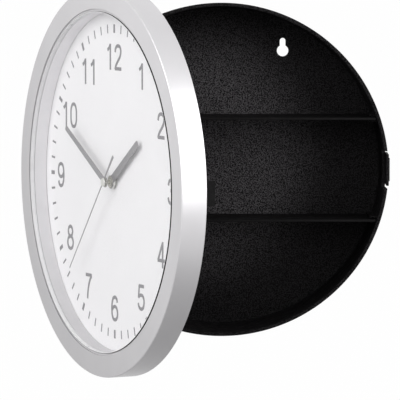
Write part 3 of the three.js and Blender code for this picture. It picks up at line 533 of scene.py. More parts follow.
# Axes to model in
@dataclass(frozen=True)
class Extent:
    """The box round some points, in millimetres."""

    low: Vector
    high: Vector

    @property
    def size(self) -> Vector:
        """The box's length along each axis."""
        return self.high - self.low

    @property
    def middle(self) -> Vector:
        """The box's middle."""
        return (self.high + self.low) / 2

    @property
    def depths(self) -> Pair:
        """The depths of the box's front and rear."""
        return self.low.y, self.high.y


@dataclass(frozen=True)
class Axes:
    """Straight axes to model in, x to the right, depth backwards and z up, as the closed clock is seen."""

    matrix: Matrix

    def corners(self, node: str) -> list[Vector]:
        """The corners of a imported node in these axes, in millimetres."""
        back = self.matrix.inverted()
        return [back @ corner.co / MM for corner in frame["nodes"][node].data.vertices]

    def measure(self, node: str) -> Extent:
        """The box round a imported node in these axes."""
        columns = list(zip(*self.corners(node)))
        return Extent(Vector(map(min, columns)), Vector(map(max, columns)))

    def reach(self, node: str) -> Pair:
        """How far a packed hand reaches from the depth axis, and which way.

        Args:
            node: The hand's name.

        Returns:
            Its length in millimetres and its bearing, clockwise from z.
        """
        flat = [Vector((c.x, c.z)) for c in self.corners(node)]
        furthest = max(point.length for point in flat)
        tip = sum((point for point in flat if point.length > TIP_SHARE * furthest), Vector((0.0, 0.0)))
        bearing = math.atan2(tip.x, tip.y)
        ahead = Vector((math.sin(bearing), math.cos(bearing)))
        return max(point.dot(ahead) for point in flat), bearing

    def hinge(self) -> Vector:
        """The door's hinge in these axes, in millimetres."""
        return self.matrix.inverted() @ Vector(joint("door_swing")["pos_m"]) / MM


def joint(name: str) -> dict:
    """Finds a joint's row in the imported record."""
    return next(row for row in frame["joints"] if row["name"] == name)


def door_axes() -> Axes:
    """The open door's own axes.

    Returns:
        The axes, with their origin in the middle of the ring's front.
    """
    hands = joint("second_spin")
    depth = Vector(hands["axis"]).normalized()
    up = Vector((0.0, 0.0, 1.0))
    turn = Matrix((depth.cross(up), depth, up)).transposed().to_4x4()
    return Axes(Matrix.Translation(Vector(hands["pos_m"])) @ turn)


TRAY = Axes(Matrix.Identity(4))
DOOR = door_axes()


# Modelling
def clear() -> None:
    """Deselects everything."""
    bpy.ops.object.select_all(action="DESELECT")


def pick(*pieces: Piece) -> None:
    """Selects pieces, the first of them active.

    Args:
        *pieces: The pieces.
    """
    clear()
    for piece in pieces:
        piece.select_set(True)
    bpy.context.view_layer.objects.active = pieces[0]


def take(name: str) -> Piece:
    """Names the object that an operator has just added.

    Args:
        name: Its new name.

    Returns:
        The object.
    """
    piece = bpy.context.object
    piece.name = name
    piece.data.name = name
    return piece


def settle() -> None:
    """Puts the place of the selected pieces in their meshes."""
    bpy.ops.object.transform_apply(location=True, rotation=True, scale=True)


def put(piece: Piece, matrix: Matrix) -> None:
    """Moves a piece, with its new place in its mesh.

    Args:
        piece: The piece.
        matrix: Its new place.
    """
    pick(piece)
    piece.matrix_world = matrix
    settle()


def drop(*pieces: Piece) -> None:
    """Deletes pieces that were only tools."""
    pick(*pieces)
    bpy.ops.object.delete()


def turned(name: str, outline: Sequence[Pair], axis: Axis = Axis.DEPTH, sides: int = RIM_SIDES,
           hollow: bool = False, centre: Sequence[float] = (0.0, 0.0, 0.0)) -> Piece:
    """Draws a circle out along an outline, which gives a turned piece.

    Args:
        name: The piece's name.
        outline: (radius, place along the axis) pairs.
        axis: The axis it is turned about.
        sides: How many sides the circle has.
        hollow: Whether the outline closes on itself and leaves the middle open.
        centre: Where the axis passes.

    Returns:
        The piece.
    """
    clear()
    (radius, along), *rest = outline
    bpy.ops.mesh.primitive_circle_add(vertices=sides, radius=radius, location=axis.step(along),
                                      rotation=axis.facing, fill_type="NOTHING" if hollow else "NGON")
    piece = take(name)
    settle()
    bpy.ops.object.mode_set(mode="EDIT")
    bpy.ops.mesh.select_all(action="SELECT")
    for next_radius, next_along in [*rest, outline[0]] if hollow else rest:
        bpy.ops.mesh.extrude_region_move(TRANSFORM_OT_translate={"value": axis.step(next_along - along)})
        growth = Vector([next_radius / radius] * 3)
        growth[axis.value] = 1.0
        bpy.ops.transform.resize(value=growth, center_override=(0.0, 0.0, 0.0))
        radius, along = next_radius, next_along
    bpy.ops.mesh.select_all(action="SELECT")
    bpy.ops.mesh.remove_doubles(threshold=0.0005)
    bpy.ops.mesh.normals_make_consistent(inside=False)
    bpy.ops.transform.translate(value=centre)
    bpy.ops.object.mode_set(mode="OBJECT")
    return piece


def rod(name: str, radius: float, low: float, high: float, axis: Axis = Axis.DEPTH,
        centre: Sequence[float] = (0.0, 0.0, 0.0), edge: float = 0.0, sides: int = SMALL_SIDES) -> Piece:
    """A round rod from low to high along its axis, with its ends eased if an edge is given."""
    eased = [(radius - edge, low), (radius, low + edge), (radius, high - edge), (radius - edge, high)]
    return turned(name, eased if edge else [(radius, low), (radius, high)], axis, sides, centre=centre)


def hoop(name: str, across: Pair, along: Pair, roundings: Sequence[float], steps: int = 4,
         sides: int = RIM_SIDES, centre: Place = (0.0, 0.0, 0.0)) -> Piece:
    """A ring with four rounded corners.

    Args:
        name: The piece's name.
        across: Its inner and outer radius.
        along: The depths of its front and rear.
        roundings: The rounding of its corners: inner front, outer front, outer rear and inner rear.
        steps: The steps of each rounding.
        sides: How many sides it has.
        centre: Where its axis passes.

    Returns:
        The ring.
    """
    (inner, outer), (front, rear) = across, along
    corners = ((inner, front), (outer, front), (outer, rear), (inner, rear))
    outline = rounded([(*corner, rounding) for corner, rounding in zip(corners, roundings)], steps)
    return turned(name, outline, sides=sides, hollow=True, centre=centre)


def block(name: str, low: Place, high: Place, edge: float = 0.0, steps: int = 3) -> Piece:
    """A block with rounded edges.

    Args:
        name: The piece's name.
        low: Its lowest corner.
        high: Its highest corner.
        edge: The rounding's radius.
        steps: The rounding's steps.

    Returns:
        The piece.
    """
    clear()
    bpy.ops.mesh.primitive_cube_add(size=1.0, location=[(a + b) / 2 for a, b in zip(low, high)])
    piece = take(name)
    piece.scale = [b - a for a, b in zip(low, high)]
    settle()
    ease(piece, edge, steps)
    return piece


def plate(name: str, outline: Sequence[Pair], axis: Axis, low: float, high: float,
          edge: float = 0.0) -> Piece:
    """A plate of any outline, drawn out along an axis.

    Args:
        name: The piece's name.
        outline: Its corners, (x, depth) for Z and (x, z) for DEPTH.
        axis: The axis it is drawn out along.
        low: Where it starts.
        high: Where it ends.
        edge: The easing of its edges.

    Returns:
        The piece.
    """
    clear()
    bpy.ops.mesh.primitive_circle_add(vertices=len(outline), radius=1.0, fill_type="NGON")
    piece = take(name)
    for corner, (across, other) in zip(piece.data.vertices, outline):
        corner.co = (across, other, low) if axis is Axis.Z else (across, low, other)
    bpy.ops.object.mode_set(mode="EDIT")
    bpy.ops.mesh.select_all(action="SELECT")
    bpy.ops.mesh.extrude_region_move(TRANSFORM_OT_translate={"value": axis.step(high - low)})
    bpy.ops.mesh.select_all(action="SELECT")
    bpy.ops.mesh.normals_make_consistent(inside=False)
    bpy.ops.object.mode_set(mode="OBJECT")
    ease(piece, edge, 2)
    return piece


def ease(piece: Piece, width: float, steps: int = 3) -> None:
    """Rounds a piece's sharp edges with an applied bevel.

    Args:
        piece: The piece.
        width: The rounding's width, with 0 for none.
        steps: Its steps.
    """
    if not width:
        return
    pick(piece)
    bevel = piece.modifiers.new("ease", "BEVEL")
    bevel.width = width
    bevel.segments = steps
    bevel.limit_method = "ANGLE"
    bevel.angle_limit = BEVEL_ANGLE
    bpy.ops.object.modifier_apply(modifier=bevel.name)


def shape(piece: Piece, operation: str, tools: Iterable[Piece]) -> None:
    """Changes a piece by others, which are used up.

    Args:
        piece: The piece.
        operation: The boolean modifier's operation.
        tools: The others.
    """
    for tool in tools:
        pick(piece)
        change = piece.modifiers.new("shape", "BOOLEAN")
        change.operation = operation
        change.solver = "EXACT"
        change.object = tool
        bpy.ops.object.modifier_apply(modifier=change.name)
        drop(tool)


def join(piece: Piece, *others: Piece) -> None:
    """Joins others to a piece that they touch."""
    shape(piece, "UNION", others)


def cut(piece: Piece, *tools: Piece) -> None:
    """Cuts others out of a piece."""
    shape(piece, "DIFFERENCE", tools)


def clip(piece: Piece, *tools: Piece) -> None:
    """Keeps what lies inside the others."""
    shape(piece, "INTERSECT", tools)


def merge(*pieces: Piece) -> Piece:
    """Makes one object of several that don't touch.

    Args:
        *pieces: The pieces; the first gives its name.

    Returns:
        The object.
    """
    pick(*pieces)
    bpy.ops.object.join()
    return pieces[0]


def copied(piece: Piece, name: str, turn: Matrix) -> Piece:
    """A copy of a piece with its own mesh, moved.

    Args:
        piece: The piece.
        name: The copy's name.
        turn: Where the copy goes.

    Returns:
        The copy.
    """
    pick(piece)
    bpy.ops.object.duplicate(linked=False)
    twin = take(name)
    put(twin, turn @ twin.matrix_world)
    return twin


def evenly(count: int) -> list[float]:
    """Bearings spread evenly round a circle, in degrees."""
    return [360 / count * n for n in range(count)]


def round_the_axis(piece: Piece, bearings: Iterable[float]) -> Piece:
    """Copies a piece round the depth axis and makes one object of the copies.

    Args:
        piece: The piece, modelled at bearing zero, which is used up.
        bearings: The copies' bearings in degrees, clockwise as the closed clock is seen.

    Returns:
        The object.
    """
    turns = [Matrix.Rotation(math.radians(bearing), 4, "Y") for bearing in bearings]
    copies = [copied(piece, f"{piece.name}_{n}", turn) for n, turn in enumerate(turns)]
    name = piece.name
    drop(piece)
    whole = merge(*copies)
    whole.name = name
    return whole


def smooth(piece: Piece) -> None:
    """Shades a piece smooth, with its sharp edges kept and its flats flat.

    Args:
        piece: The piece.
    """
    pick(piece)
    bpy.ops.object.shade_smooth_by_angle(angle=SMOOTH_ANGLE)
    weigh = piece.modifiers.new("weigh", "WEIGHTED_NORMAL")
    weigh.keep_sharp = True
    bpy.ops.object.modifier_apply(modifier=weigh.name)


def hand_in(piece: Piece, body: Body, finish: Finish, *nodes: str) -> None:
    """Finishes a piece: shading, place at rest, material, body and the nodes it stands for.

    Args:
        piece: The piece, modelled in its body's axes.
        body: The body it rides on.
        finish: Its finish.
        *nodes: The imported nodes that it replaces.
    """
    smooth(piece)
    put(piece, body.axes.matrix @ Matrix.Scale(MM, 4) @ piece.matrix_world)
    piece.data.materials.clear()
    piece.data.materials.append(finish.material())
    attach(piece, body.value)
    if nodes:
        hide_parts(*nodes)
    log.info("%s: %d faces, %s, on %s", piece.name, len(piece.data.polygons), finish.name, body.value)


def rounded(corners: Sequence[Place], steps: int = 4, shut: bool = True) -> list[Pair]:
    """An outline with its corners rounded.

    Args:
        corners: (radius, place, rounding) of each corner.
        steps: How many steps each rounding has.
        shut: Whether the outline closes on itself.

    Returns:
        The outline's points.
    """
    points = []
    count = len(corners)
    for n, (across, along, rounding) in enumerate(corners):
        corner = Vector((across, along))
        before = Vector(corners[(n - 1) % count][:2]) - corner
        after = Vector(corners[(n + 1) % count][:2]) - corner
        if not rounding or (not shut and n in (0, count - 1)):
            points.append((across, along))
            continue
        half = before.angle(after) / 2
        reach = rounding / math.tan(half)
        middle = corner + (before.normalized() + after.normalized()).normalized() * rounding / math.sin(half)
        first, last = (corner + way.normalized() * reach - middle for way in (before, after))
        swing = math.pi - 2 * half
        for share in (step / steps for step in range(steps + 1)):
            arc = first * math.sin((1 - share) * swing) + last * math.sin(share * swing)
            points.append(tuple(middle + arc / math.sin(swing)))
    return points


# The face: ring, lens, spacer, dial and its print
@dataclass
class Face:
    """The clock's face, which the ring carries: ring, lens, spacer and printed dial."""

    opening: float = 112.75
    face_thick: float = 1.6
    wall: float = 2.0
    corner: float = 0.85
    lip: float = 0.12
    seal_outer: float = 111.2
    seal_wide: float = 0.15
    seal_front: float = 0.03
    gasket_front: float = 0.85
    edge_wide: float = 0.42
    register: float = 114.3
    register_wall: float = 1.6
    register_rear: float = 12.2
    boss_circle: float = 120.45
    boss_radius: float = 3.2
    boss_bore: float = 1.3
    boss_rear: float = 15.0
    boss_floor: float = 0.8
    bosses: int = 6
    spacer_wall: float = 2.6
    dial_hole: float = 3.5
    ink: float = 0.05
    numeral_height: float = 16.9
    numeral_circle: float = 82.1
    side_numeral_circle: float = 86.3
    numeral_drop: float = 0.8
    mark_low: float = 97.0
    mark_high: float = 102.6
    minute_mark: float = 1.45
    hour_mark: float = 2.6
    marks: int = 60
    hours: int = 12

    def build(self) -> None:
        """Builds and dresses the face."""
        for part in (self.ring, self.lens, self.spacer, self.dial, self.minute_marks, self.numerals):
            part()

    def ring(self) -> None:
        """The silver ring: flat face, deep side wall, register wall and screw bosses."""
        box = DOOR.measure("bezel_ring")
        outer, rear, thick = box.high.x, box.high.y, self.face_thick
        register = self.register + self.register_wall
        ring = turned("ring", rounded([
            (self.opening, 0.0, self.lip), (outer, 0.0, self.corner), (outer, rear, 0.3),
            (outer - self.wall, rear, 0.2), (outer - self.wall, thick, 0.5), (register, thick, 0.3),
            (register, self.register_rear, 0.2), (self.register, self.register_rear, 0.2),
            (self.register, thick, 0.2), (self.opening, thick, 0.1),
        ]), hollow=True)
        boss = hoop("boss", (self.boss_bore, self.boss_radius), (self.boss_floor, self.boss_rear),
                    (0.0, 0.0, 0.3, 0.2), sides=SMALL_SIDES // 2, centre=(0.0, 0.0, self.boss_circle))
        join(ring, round_the_axis(boss, evenly(self.bosses)))
        hand_in(ring, Body.DOOR, SILVER_PAINT, "bezel_ring")

    def lens(self) -> None:
        """The clear disc and its pale raised rim, with a dark seal and a grey gasket between rim and ring."""
        box = DOOR.measure("lens")
        front, rear = box.depths
        inner = self.seal_outer - self.seal_wide
        high = inner - HAIR
        low = high - self.edge_wide
        lip = self.seal_front + 3 * HAIR
        floor = front - 2 * HAIR
        hand_in(hoop("lens_seal", (inner, self.seal_outer), (self.seal_front, floor), (0.05,) * 4, 2),
                Body.DOOR, SEAL_DARK)
        hand_in(hoop("lens_gasket", (self.seal_outer + HAIR, self.opening - 2 * HAIR),
                     (self.gasket_front, floor), (0.1, 0.1, 0.05, 0.05), 2), Body.DOOR, GASKET_GREY)
        rim = turned("lens_rim", rounded([
            (low, lip, 0.12), (high, lip, 0.05), (high, front, 0.0), (box.high.x, front, 0.2),
            (box.high.x, rear, 0.1), (low, rear, 0.05),
        ], 3), hollow=True)
        hand_in(rim, Body.DOOR, LENS_EDGE)
        disc = rod("lens_disc", low - HAIR, front, rear, edge=0.1, sides=RIM_SIDES)
        hand_in(disc, Body.DOOR, LENS_CLEAR, "lens")

    def spacer(self) -> None:
        """The grey wall between the lens and the dial."""
        box = DOOR.measure("dial_spacer")
        across = (box.high.x - self.spacer_wall, box.high.x)
        hand_in(hoop("spacer", across, box.depths, (0.06, 0.2, 0.2, 0.06)),
                Body.DOOR, SPACER_GREY, "dial_spacer")

    def dial(self) -> None:
        """The white dial."""
        box = DOOR.measure("dial")
        hand_in(hoop("dial_card", (self.dial_hole, box.high.x), box.depths, (0.1,) * 4, 2),
                Body.DOOR, DIAL_WHITE, "dial")

    def minute_marks(self) -> None:
        """Sixty marks round the dial, with wider ones on the hours."""
        face = DOOR.measure("dial").low.y
        turns = evenly(self.marks)
        whole = turns[::self.marks // self.hours]
        sets = []
        for name, width, bearings in (("minute_marks", self.minute_mark, sorted(set(turns) - set(whole))),
                                      ("hour_marks", self.hour_mark, whole)):
            half = width / 2
            mark = block(name, (-half, face - self.ink, self.mark_low), (half, face, self.mark_high),
                         self.ink / 2, 1)
            sets.append(round_the_axis(mark, bearings))
        hand_in(merge(*sets), Body.DOOR, PRINT_GREY)

    def numerals(self) -> None:
        """The numerals 1 to 12, upright, printed as thin raised ink."""
        face = DOOR.measure("dial").low.y
        pen = Numerals(self.numeral_height, face - self.ink, face)
        for hour in range(1, self.hours + 1):
            numeral = pen.drawn(f"numeral_{hour}", str(hour))
            across = [corner.co.x for corner in numeral.data.vertices]
            middle = (min(across) + max(across)) / 2
            circle = self.side_numeral_circle if hour in (3, 9) else self.numeral_circle
            bearing = WHOLE_TURN * hour / self.hours
            put(numeral, Matrix.Translation((circle * math.sin(bearing) - middle, 0.0,
                                             circle * math.cos(bearing) - self.numeral_drop)))
            hand_in(numeral, Body.DOOR, PRINT_GREY)


class Stroke:
    """A pen's path through a few points, smooth where there are more than two."""

    def __init__(self, *points: tuple[int, int], loop: bool = False) -> None:
        """Keeps the path's points, in thousandths of a figure's height, and whether it closes on itself."""
        self.points = [Vector((x / 1000, y / 1000)) for x, y in points]
        self.loop = loop

    def path(self, steps: int) -> list[Vector]:
        """The path with a smooth curve between its points.

        Args:
            steps: The steps from point to point.

        Returns:
            The finer path.
        """
        points = self.points
        if len(points) < 3:
            return points
        if self.loop:
            around = [points[-1], *points, *points[:2]]
        else:
            around = [2 * points[0] - points[1], *points, 2 * points[-1] - points[-2]]
        fine = []
        for a, b, c, d in zip(around, around[1:], around[2:], around[3:]):
            for t in (k / steps for k in range(steps)):
                fine.append((2 * b + (c - a) * t + (2 * a - 5 * b + 4 * c - d) * t ** 2
                             + (3 * b - a - 3 * c + d) * t ** 3) / 2)
        return fine if self.loop else [*fine, points[-1]]

    def sides(self, half: float, steps: int) -> tuple[list[Vector], list[Vector]]:
        """The two sides of a pen stroke.

        Args:
            half: Half the pen's width.
            steps: The steps from point to point.

        Returns:
            The points on the right and on the left of the path.
        """
        path = self.path(steps)
        before, after = ([path[-1]], [path[0]]) if self.loop else ([path[0]], [path[-1]])
        right, left = [], []
        for back, point, ahead in zip(before + path[:-1], path, path[1:] + after):
            way = (ahead - back).normalized()
            out = Vector((way.y, -way.x)) * half
            right.append(point + out)
            left.append(point - out)
        return right, left


@dataclass
class Numerals:
    """Plain upright figures, drawn in strokes of one width on a height of one."""

    height: float
    front: float
    rear: float
    weight: float = 0.134
    advance: float = 0.79
    steps: int = 6
    strokes: dict[str, list[Stroke]] = field(default_factory=lambda: {
        "0": [Stroke((263, 500), (245, 740), (140, 905), (0, 941), (-140, 905), (-245, 740), (-263, 500),
             (-245, 260), (-140, 95), (0, 59), (140, 95), (245, 260), loop=True)],
        "1": [Stroke((75, 0), (75, 1000)), Stroke((60, 970), (-30, 850), (-190, 750))],
        "2": [Stroke((-262, 690), (-235, 820), (-140, 913), (5, 941), (150, 910), (235, 810), (240, 680),
             (180, 540), (40, 400), (-120, 260), (-220, 150), (-275, 30)), Stroke((-300, 59), (300, 59))],
        "3": [Stroke((-250, 730), (-205, 860), (-110, 928), (0, 941), (130, 910), (208, 810), (205, 690),
             (130, 585), (20, 545), (-90, 540)), Stroke((-90, 540), (30, 540), (160, 500), (245, 400),
             (255, 260), (190, 130), (80, 70), (-30, 60), (-150, 95), (-235, 180), (-262, 285))],
        "4": [Stroke((125, 0), (125, 1000)), Stroke((120, 955), (-275, 300)), Stroke((-325, 285),
             (310, 285))],
        "5": [Stroke((-200, 937), (245, 937)), Stroke((-165, 970), (-245, 475)), Stroke((-235, 490),
             (-150, 560), (0, 590), (140, 560), (235, 450), (255, 310), (205, 160), (100, 75), (-20, 60),
             (-150, 95), (-230, 170), (-262, 275))],
        "6": [Stroke((235, 745), (190, 860), (100, 925), (0, 940), (-130, 895), (-220, 770), (-260, 600),
             (-265, 420), (-235, 230), (-140, 95), (0, 60), (130, 90), (230, 190), (255, 320), (225, 450),
             (130, 550), (5, 577), (-120, 545), (-225, 440))],
        "7": [Stroke((-285, 937), (290, 937)), Stroke((270, 930), (120, 750), (0, 530), (-75, 280),
             (-115, 0))],
        "8": [Stroke((205, 745), (145, 885), (0, 941), (-145, 885), (-205, 745), (-145, 605), (0, 550),
             (145, 605), loop=True), Stroke((262, 300), (185, 475), (0, 545), (-185, 475), (-262, 300),
             (-185, 125), (0, 59), (185, 125), loop=True)],
    })

    def drawn(self, name: str, text: str) -> Piece:
        """Draws a number, a 9 as a 6 that is turned half round.

        Args:
            name: The piece's name.
            text: The number's figures.

        Returns:
            The number as one object, its middle at the axis.
        """
        figures = []
        for place, figure in enumerate(text):
            shift = self.advance * (place - (len(text) - 1) / 2)
            way = -1 if figure == "9" else 1
            strokes = self.strokes["6" if figure == "9" else figure]
            first, *rest = [self.inked(name, stroke, way, shift) for stroke in strokes]
            join(first, *rest)
            figures.append(first)
        number = merge(*figures) if len(figures) > 1 else figures[0]
        number.name = name
        return number

    def inked(self, name: str, stroke: Stroke, way: int, shift: float) -> Piece:
        """Makes one stroke as a thin plate.

        Args:
            name: The piece's name.
            stroke: The stroke.
            way: 1 for an upright figure and -1 for one that is turned half round.
            shift: How far it moves to the right, in heights.

        Returns:
            The stroke's plate.
        """
        outer, inner = ([((way * p.x + shift) * self.height, way * (p.y - 0.5) * self.height) for p in side]
                        for side in stroke.sides(self.weight / 2, self.steps))
        if not stroke.loop:
            return plate(name, outer + inner[::-1], Axis.DEPTH, self.front, self.rear)
        ink = plate(name, outer, Axis.DEPTH, self.front, self.rear)
        cut(ink, plate("eye", inner, Axis.DEPTH, self.front - OVER, self.rear + OVER))
        return ink


# The hands
@dataclass
class Hands:
    """The three hands and the turned collets that hold them."""

    wide_share: float = 0.78
    hour_wide: float = 5.8
    hour_hub: float = 4.2
    hour_bore: float = 2.25
    minute_wide: float = 4.4
    minute_hub: float = 3.4
    minute_bore: float = 1.55
    tip_corner: float = 0.6
    channel_share: float = 0.3
    channel_deep: float = 0.1
    channel_end: float = 2.0
    collet_proud: float = 0.3
    collet_step: float = 0.35
    second_wide: float = 1.0
    second_hub: float = 2.7
    second_front: float = 0.35
    second_thick: float = 0.25
    second_tail: float = 24.0
    cap_lap: float = 0.4
    cap_start: float = 0.3
    tail_wide: float = 2.3
    tail_corner: float = 0.4
    waist: float = 2.0

    def build(self) -> None:
        """Builds and dresses the hands."""
        self.baton("hour_baton", "hour_hand", Body.HOUR, self.hour_wide, self.hour_hub, self.hour_bore)
        self.baton("minute_baton", "minute_hand", Body.MINUTE, self.minute_wide, self.minute_hub,
                   self.minute_bore)
        self.sweep()

    def baton(self, name: str, node: str, body: Body, wide: float, hub: float, bore: float) -> None:
        """A flat hand with a shallow pressed channel, a round hub and a turned collet on it.

        Args:
            name: The piece's name.
            node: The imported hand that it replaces.
            body: The body it rides on.
            wide: Its width at the hub.
            hub: Its hub's radius.
            bore: The hub's bore.
        """
        front, rear = DOOR.measure(node).depths
        length, bearing = DOOR.reach(node)
        half, corner = wide / 2, self.tip_corner
        tip = half * self.wide_share
        blade = plate(name, [(-half, 0.0), (half, 0.0), (tip, length - corner), (tip - corner, length),
                             (corner - tip, length), (-tip, length - corner)], Axis.DEPTH, front, rear)
        near, far = hub + self.channel_end, length - self.channel_end
        channel = half * self.channel_share
        end = channel * self.wide_share
        groove = plate("groove", [(-channel, near), (channel, near), (end, far), (-end, far)],
                       Axis.DEPTH, front - OVER, front + self.channel_deep)
        join(blade, rod("hub", hub, front, rear))
        cut(blade, groove, rod("bore", bore, front - OVER, rear + OVER))
        ease(blade, 0.07, 2)
        put(blade, Matrix.Rotation(bearing, 4, "Y"))
        hand_in(blade, body, HAND_GREY, node)
        collet = hoop(name + "_collet", (bore, hub - self.collet_step),
                      (front - self.collet_proud, front - 2 * HAIR), (0.08, 0.15, 0.0, 0.0), 3, SMALL_SIDES)
        hand_in(collet, body, PALE_BRASS)

    def sweep(self) -> None:
        """The thin seconds hand with its tail and cap."""
        node = "second_hand"
        length, bearing = DOOR.reach(node)
        box = DOOR.measure(node)
        front = box.low.y + self.second_front
        rear = front + self.second_thick
        half, tail = self.second_wide / 2, self.tail_wide / 2
        end, corner = -self.second_tail, self.tail_corner
        tip = half * self.wide_share
        blade = plate("seconds_blade", [
            (-tail, end + corner), (corner - tail, end), (tail - corner, end), (tail, end + corner),
            (half, -self.waist), (tip, length), (-tip, length), (-half, -self.waist),
        ], Axis.DEPTH, front, rear, 0.05)
        put(blade, Matrix.Rotation(bearing, 4, "Y"))
        hub = self.second_hub
        cut(blade, rod("bore", hub - self.cap_lap, front - OVER, rear + OVER))
        hand_in(blade, Body.SECOND, HAND_GREY, node)
        start, (top, foot) = hub * self.cap_start, box.depths
        cap = turned("seconds_cap", rounded(
            [(start, top, 0.0), (hub, top, 0.3), (hub, foot, 0.1), (start, foot, 0.0)], shut=False),
            sides=SMALL_SIDES)
        hand_in(cap, Body.SECOND, NICKEL)


# The safe's body
@dataclass
class Safe:
    """The black tray with its shelves, latch tongue and hinge pin."""

    wall: float = 2.4
    draft: float = 1.5
    outer_rounding: float = 3.6
    inner_rounding: float = 2.0
    floor_start: float = 8.0
    keyhole_x: float = 42.5
    keyhole_z: float = 79.5
    keyhole_head: float = 4.0
    keyhole_slot: float = 2.0
    keyhole_rise: float = 6.8
    window_half: float = 12.85
    window_rear: float = -28.0
    rail_reach: float = 3.0
    rail_thick: float = 1.4
    rail_front: float = -43.0
    rail_half: float = 1.1
    knuckle: float = 3.4
    knuckle_edge: float = 0.3
    knuckle_low: float = 10.3
    knuckle_high: float = 24.0
    arm_front: float = 5.7
    arm_root: float = 11.0
    arm_side: float = 4.2
    arm_shoulder: float = 3.4
    arm_bite: float = 0.1
    arm_depth: float = 7.0
    arm_touch: float = math.radians(40)
    nib_proud: float = 0.8
    nib_root: float = 0.9
    nib_front: float = 3.0
    nib_slope: float = 1.6
    nib_half: float = 8.0
    pin_bore: float = 1.35
    pin_radius: float = 1.2
    pin_tip: float = 0.3
    pin_dome: tuple[Pair, ...] = ((1.0, 1.1), (1.0, 0.5), (0.85, 0.18), (0.5, 0.0))

    def build(self) -> None:
        """Builds and dresses the safe's body."""
        self.tray()
        self.shelf("upper_board", "upper_shelf")
        self.shelf("lower_board", "lower_shelf")
        self.tongue()
        self.pin()

    def tray(self) -> None:
        """The moulded tray: thin drafted wall, keyholes, rails, hinge knuckles and the latch's window."""
        radius = TRAY.measure("back_case").high.z
        rim = TRAY.measure("latch_tongue").low.y
        back, wall = radius - self.draft, self.wall
        tray = turned("tray", rounded([
            (self.floor_start, 0.0, 0.0), (back, 0.0, self.outer_rounding), (radius, rim, 0.5),
            (radius - wall, rim, 0.5), (back - wall, -wall, self.inner_rounding),
            (self.floor_start, -wall, 0.0),
        ], steps=6, shut=False))
        for node in ("upper_shelf", "lower_shelf"):
            join(tray, *self.rails(radius, rim, TRAY.measure(node).middle.z))
        for side in (-1, 1):
            join(tray, *self.knuckles(radius, rim, side))
        window = block("window", (radius - 2 * wall, rim - OVER, -self.window_half),
                       (radius + wall, self.window_rear, self.window_half))
        bore = rod("pin_bore", self.pin_bore, -self.knuckle_high - OVER, self.knuckle_high + OVER, Axis.Z,
                   TRAY.hinge())
        cut(tray, window, bore, *(self.keyhole(side * self.keyhole_x) for side in (-1, 1)))
        hand_in(tray, Body.SAFE, CASE_BLACK, "back_case")

    def keyhole(self, x: float) -> Piece:
        """A cutter for a keyhole in the back.

        Args:
            x: Where the keyhole is.

        Returns:
            The cutter.
        """
        front, rear, z, half = -self.wall - 2 * OVER, 2 * OVER, self.keyhole_z, self.keyhole_slot
        top = z + self.keyhole_rise
        head = rod("head", self.keyhole_head, front, rear, centre=(x, 0.0, z))
        join(head, block("slot", (x - half, front, z), (x + half, rear, top)),
             rod("end", half, front, rear, centre=(x, 0.0, top)))
        return head

    def rails(self, radius: float, rim: float, level: float) -> list[Piece]:
        """The ribs that hold a shelf's two ends.

        Args:
            radius: The tray's radius at its rim.
            rim: The depth of the rim.
            level: The shelf's height.

        Returns:
            The ribs, clipped to the inside of the wall.
        """
        back, skin = radius - self.draft, self.wall / 2
        edge = math.sqrt((back - self.wall) ** 2 - (abs(level) + self.rail_half) ** 2) - self.rail_reach
        ribs = []
        for side, way in ((-1, -1), (-1, 1), (1, -1), (1, 1)):
            near = level + way * self.rail_half
            low, high = sorted((near, near + way * self.rail_thick))
            left, right = sorted((side * edge, side * radius))
            rib = block("rib", (left, self.rail_front, low), (right, -skin, high), 0.3, 2)
            clip(rib, turned("clip", [(back - skin, -skin), (radius - skin, rim)], sides=RIM_SIDES // 2))
            ribs.append(rib)
        return ribs

    def knuckles(self, radius: float, rim: float, side: int) -> list[Piece]:
        """One of the tray's hinge knuckles and the arm that carries it.

        Args:
            radius: The tray's radius at its rim.
            rim: The depth of the rim.
            side: 1 for the upper and -1 for the lower.

        Returns:
            The pieces to join to the tray.
        """
        x, y, _ = TRAY.hinge()
        low, high = sorted((side * self.knuckle_low, side * self.knuckle_high))
        knuckle = rod("knuckle", self.knuckle, low, high, Axis.Z, (x, y, 0.0), self.knuckle_edge)
        core, deep, angle = self.knuckle - self.knuckle_edge, rim + self.arm_depth, self.arm_touch
        arm = plate("arm", [
            (x, y - core), (x + self.arm_front, y), (x + self.arm_front, rim), (x + self.arm_root, rim),
            (x + self.arm_root, deep), (x + self.arm_side, deep), (x + self.arm_side, y + self.arm_shoulder),
            (x + core * math.cos(angle), y + core * math.sin(angle)),
        ], Axis.Z, low, high)
        cut(arm, rod("hollow", radius - self.wall + self.arm_bite, rim - OVER, 0.0, sides=RIM_SIDES))
        return [knuckle, arm]

    def shelf(self, name: str, node: str) -> None:
        """A thin board, narrower at its back, with an eased front edge.

        Args:
            name: The piece's name.
            node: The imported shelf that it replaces.
        """
        box = TRAY.measure(node)
        half, front, rear = box.high.x, box.low.y, box.high.y
        back = max(c.x for c in TRAY.corners(node) if c.y > rear - NEAR)
        board = plate(name, [(-half, front), (half, front), (back, rear), (-back, rear)], Axis.Z, box.low.z,
                      box.high.z, 0.35)
        hand_in(board, Body.SAFE, BACK_BLACK, node)

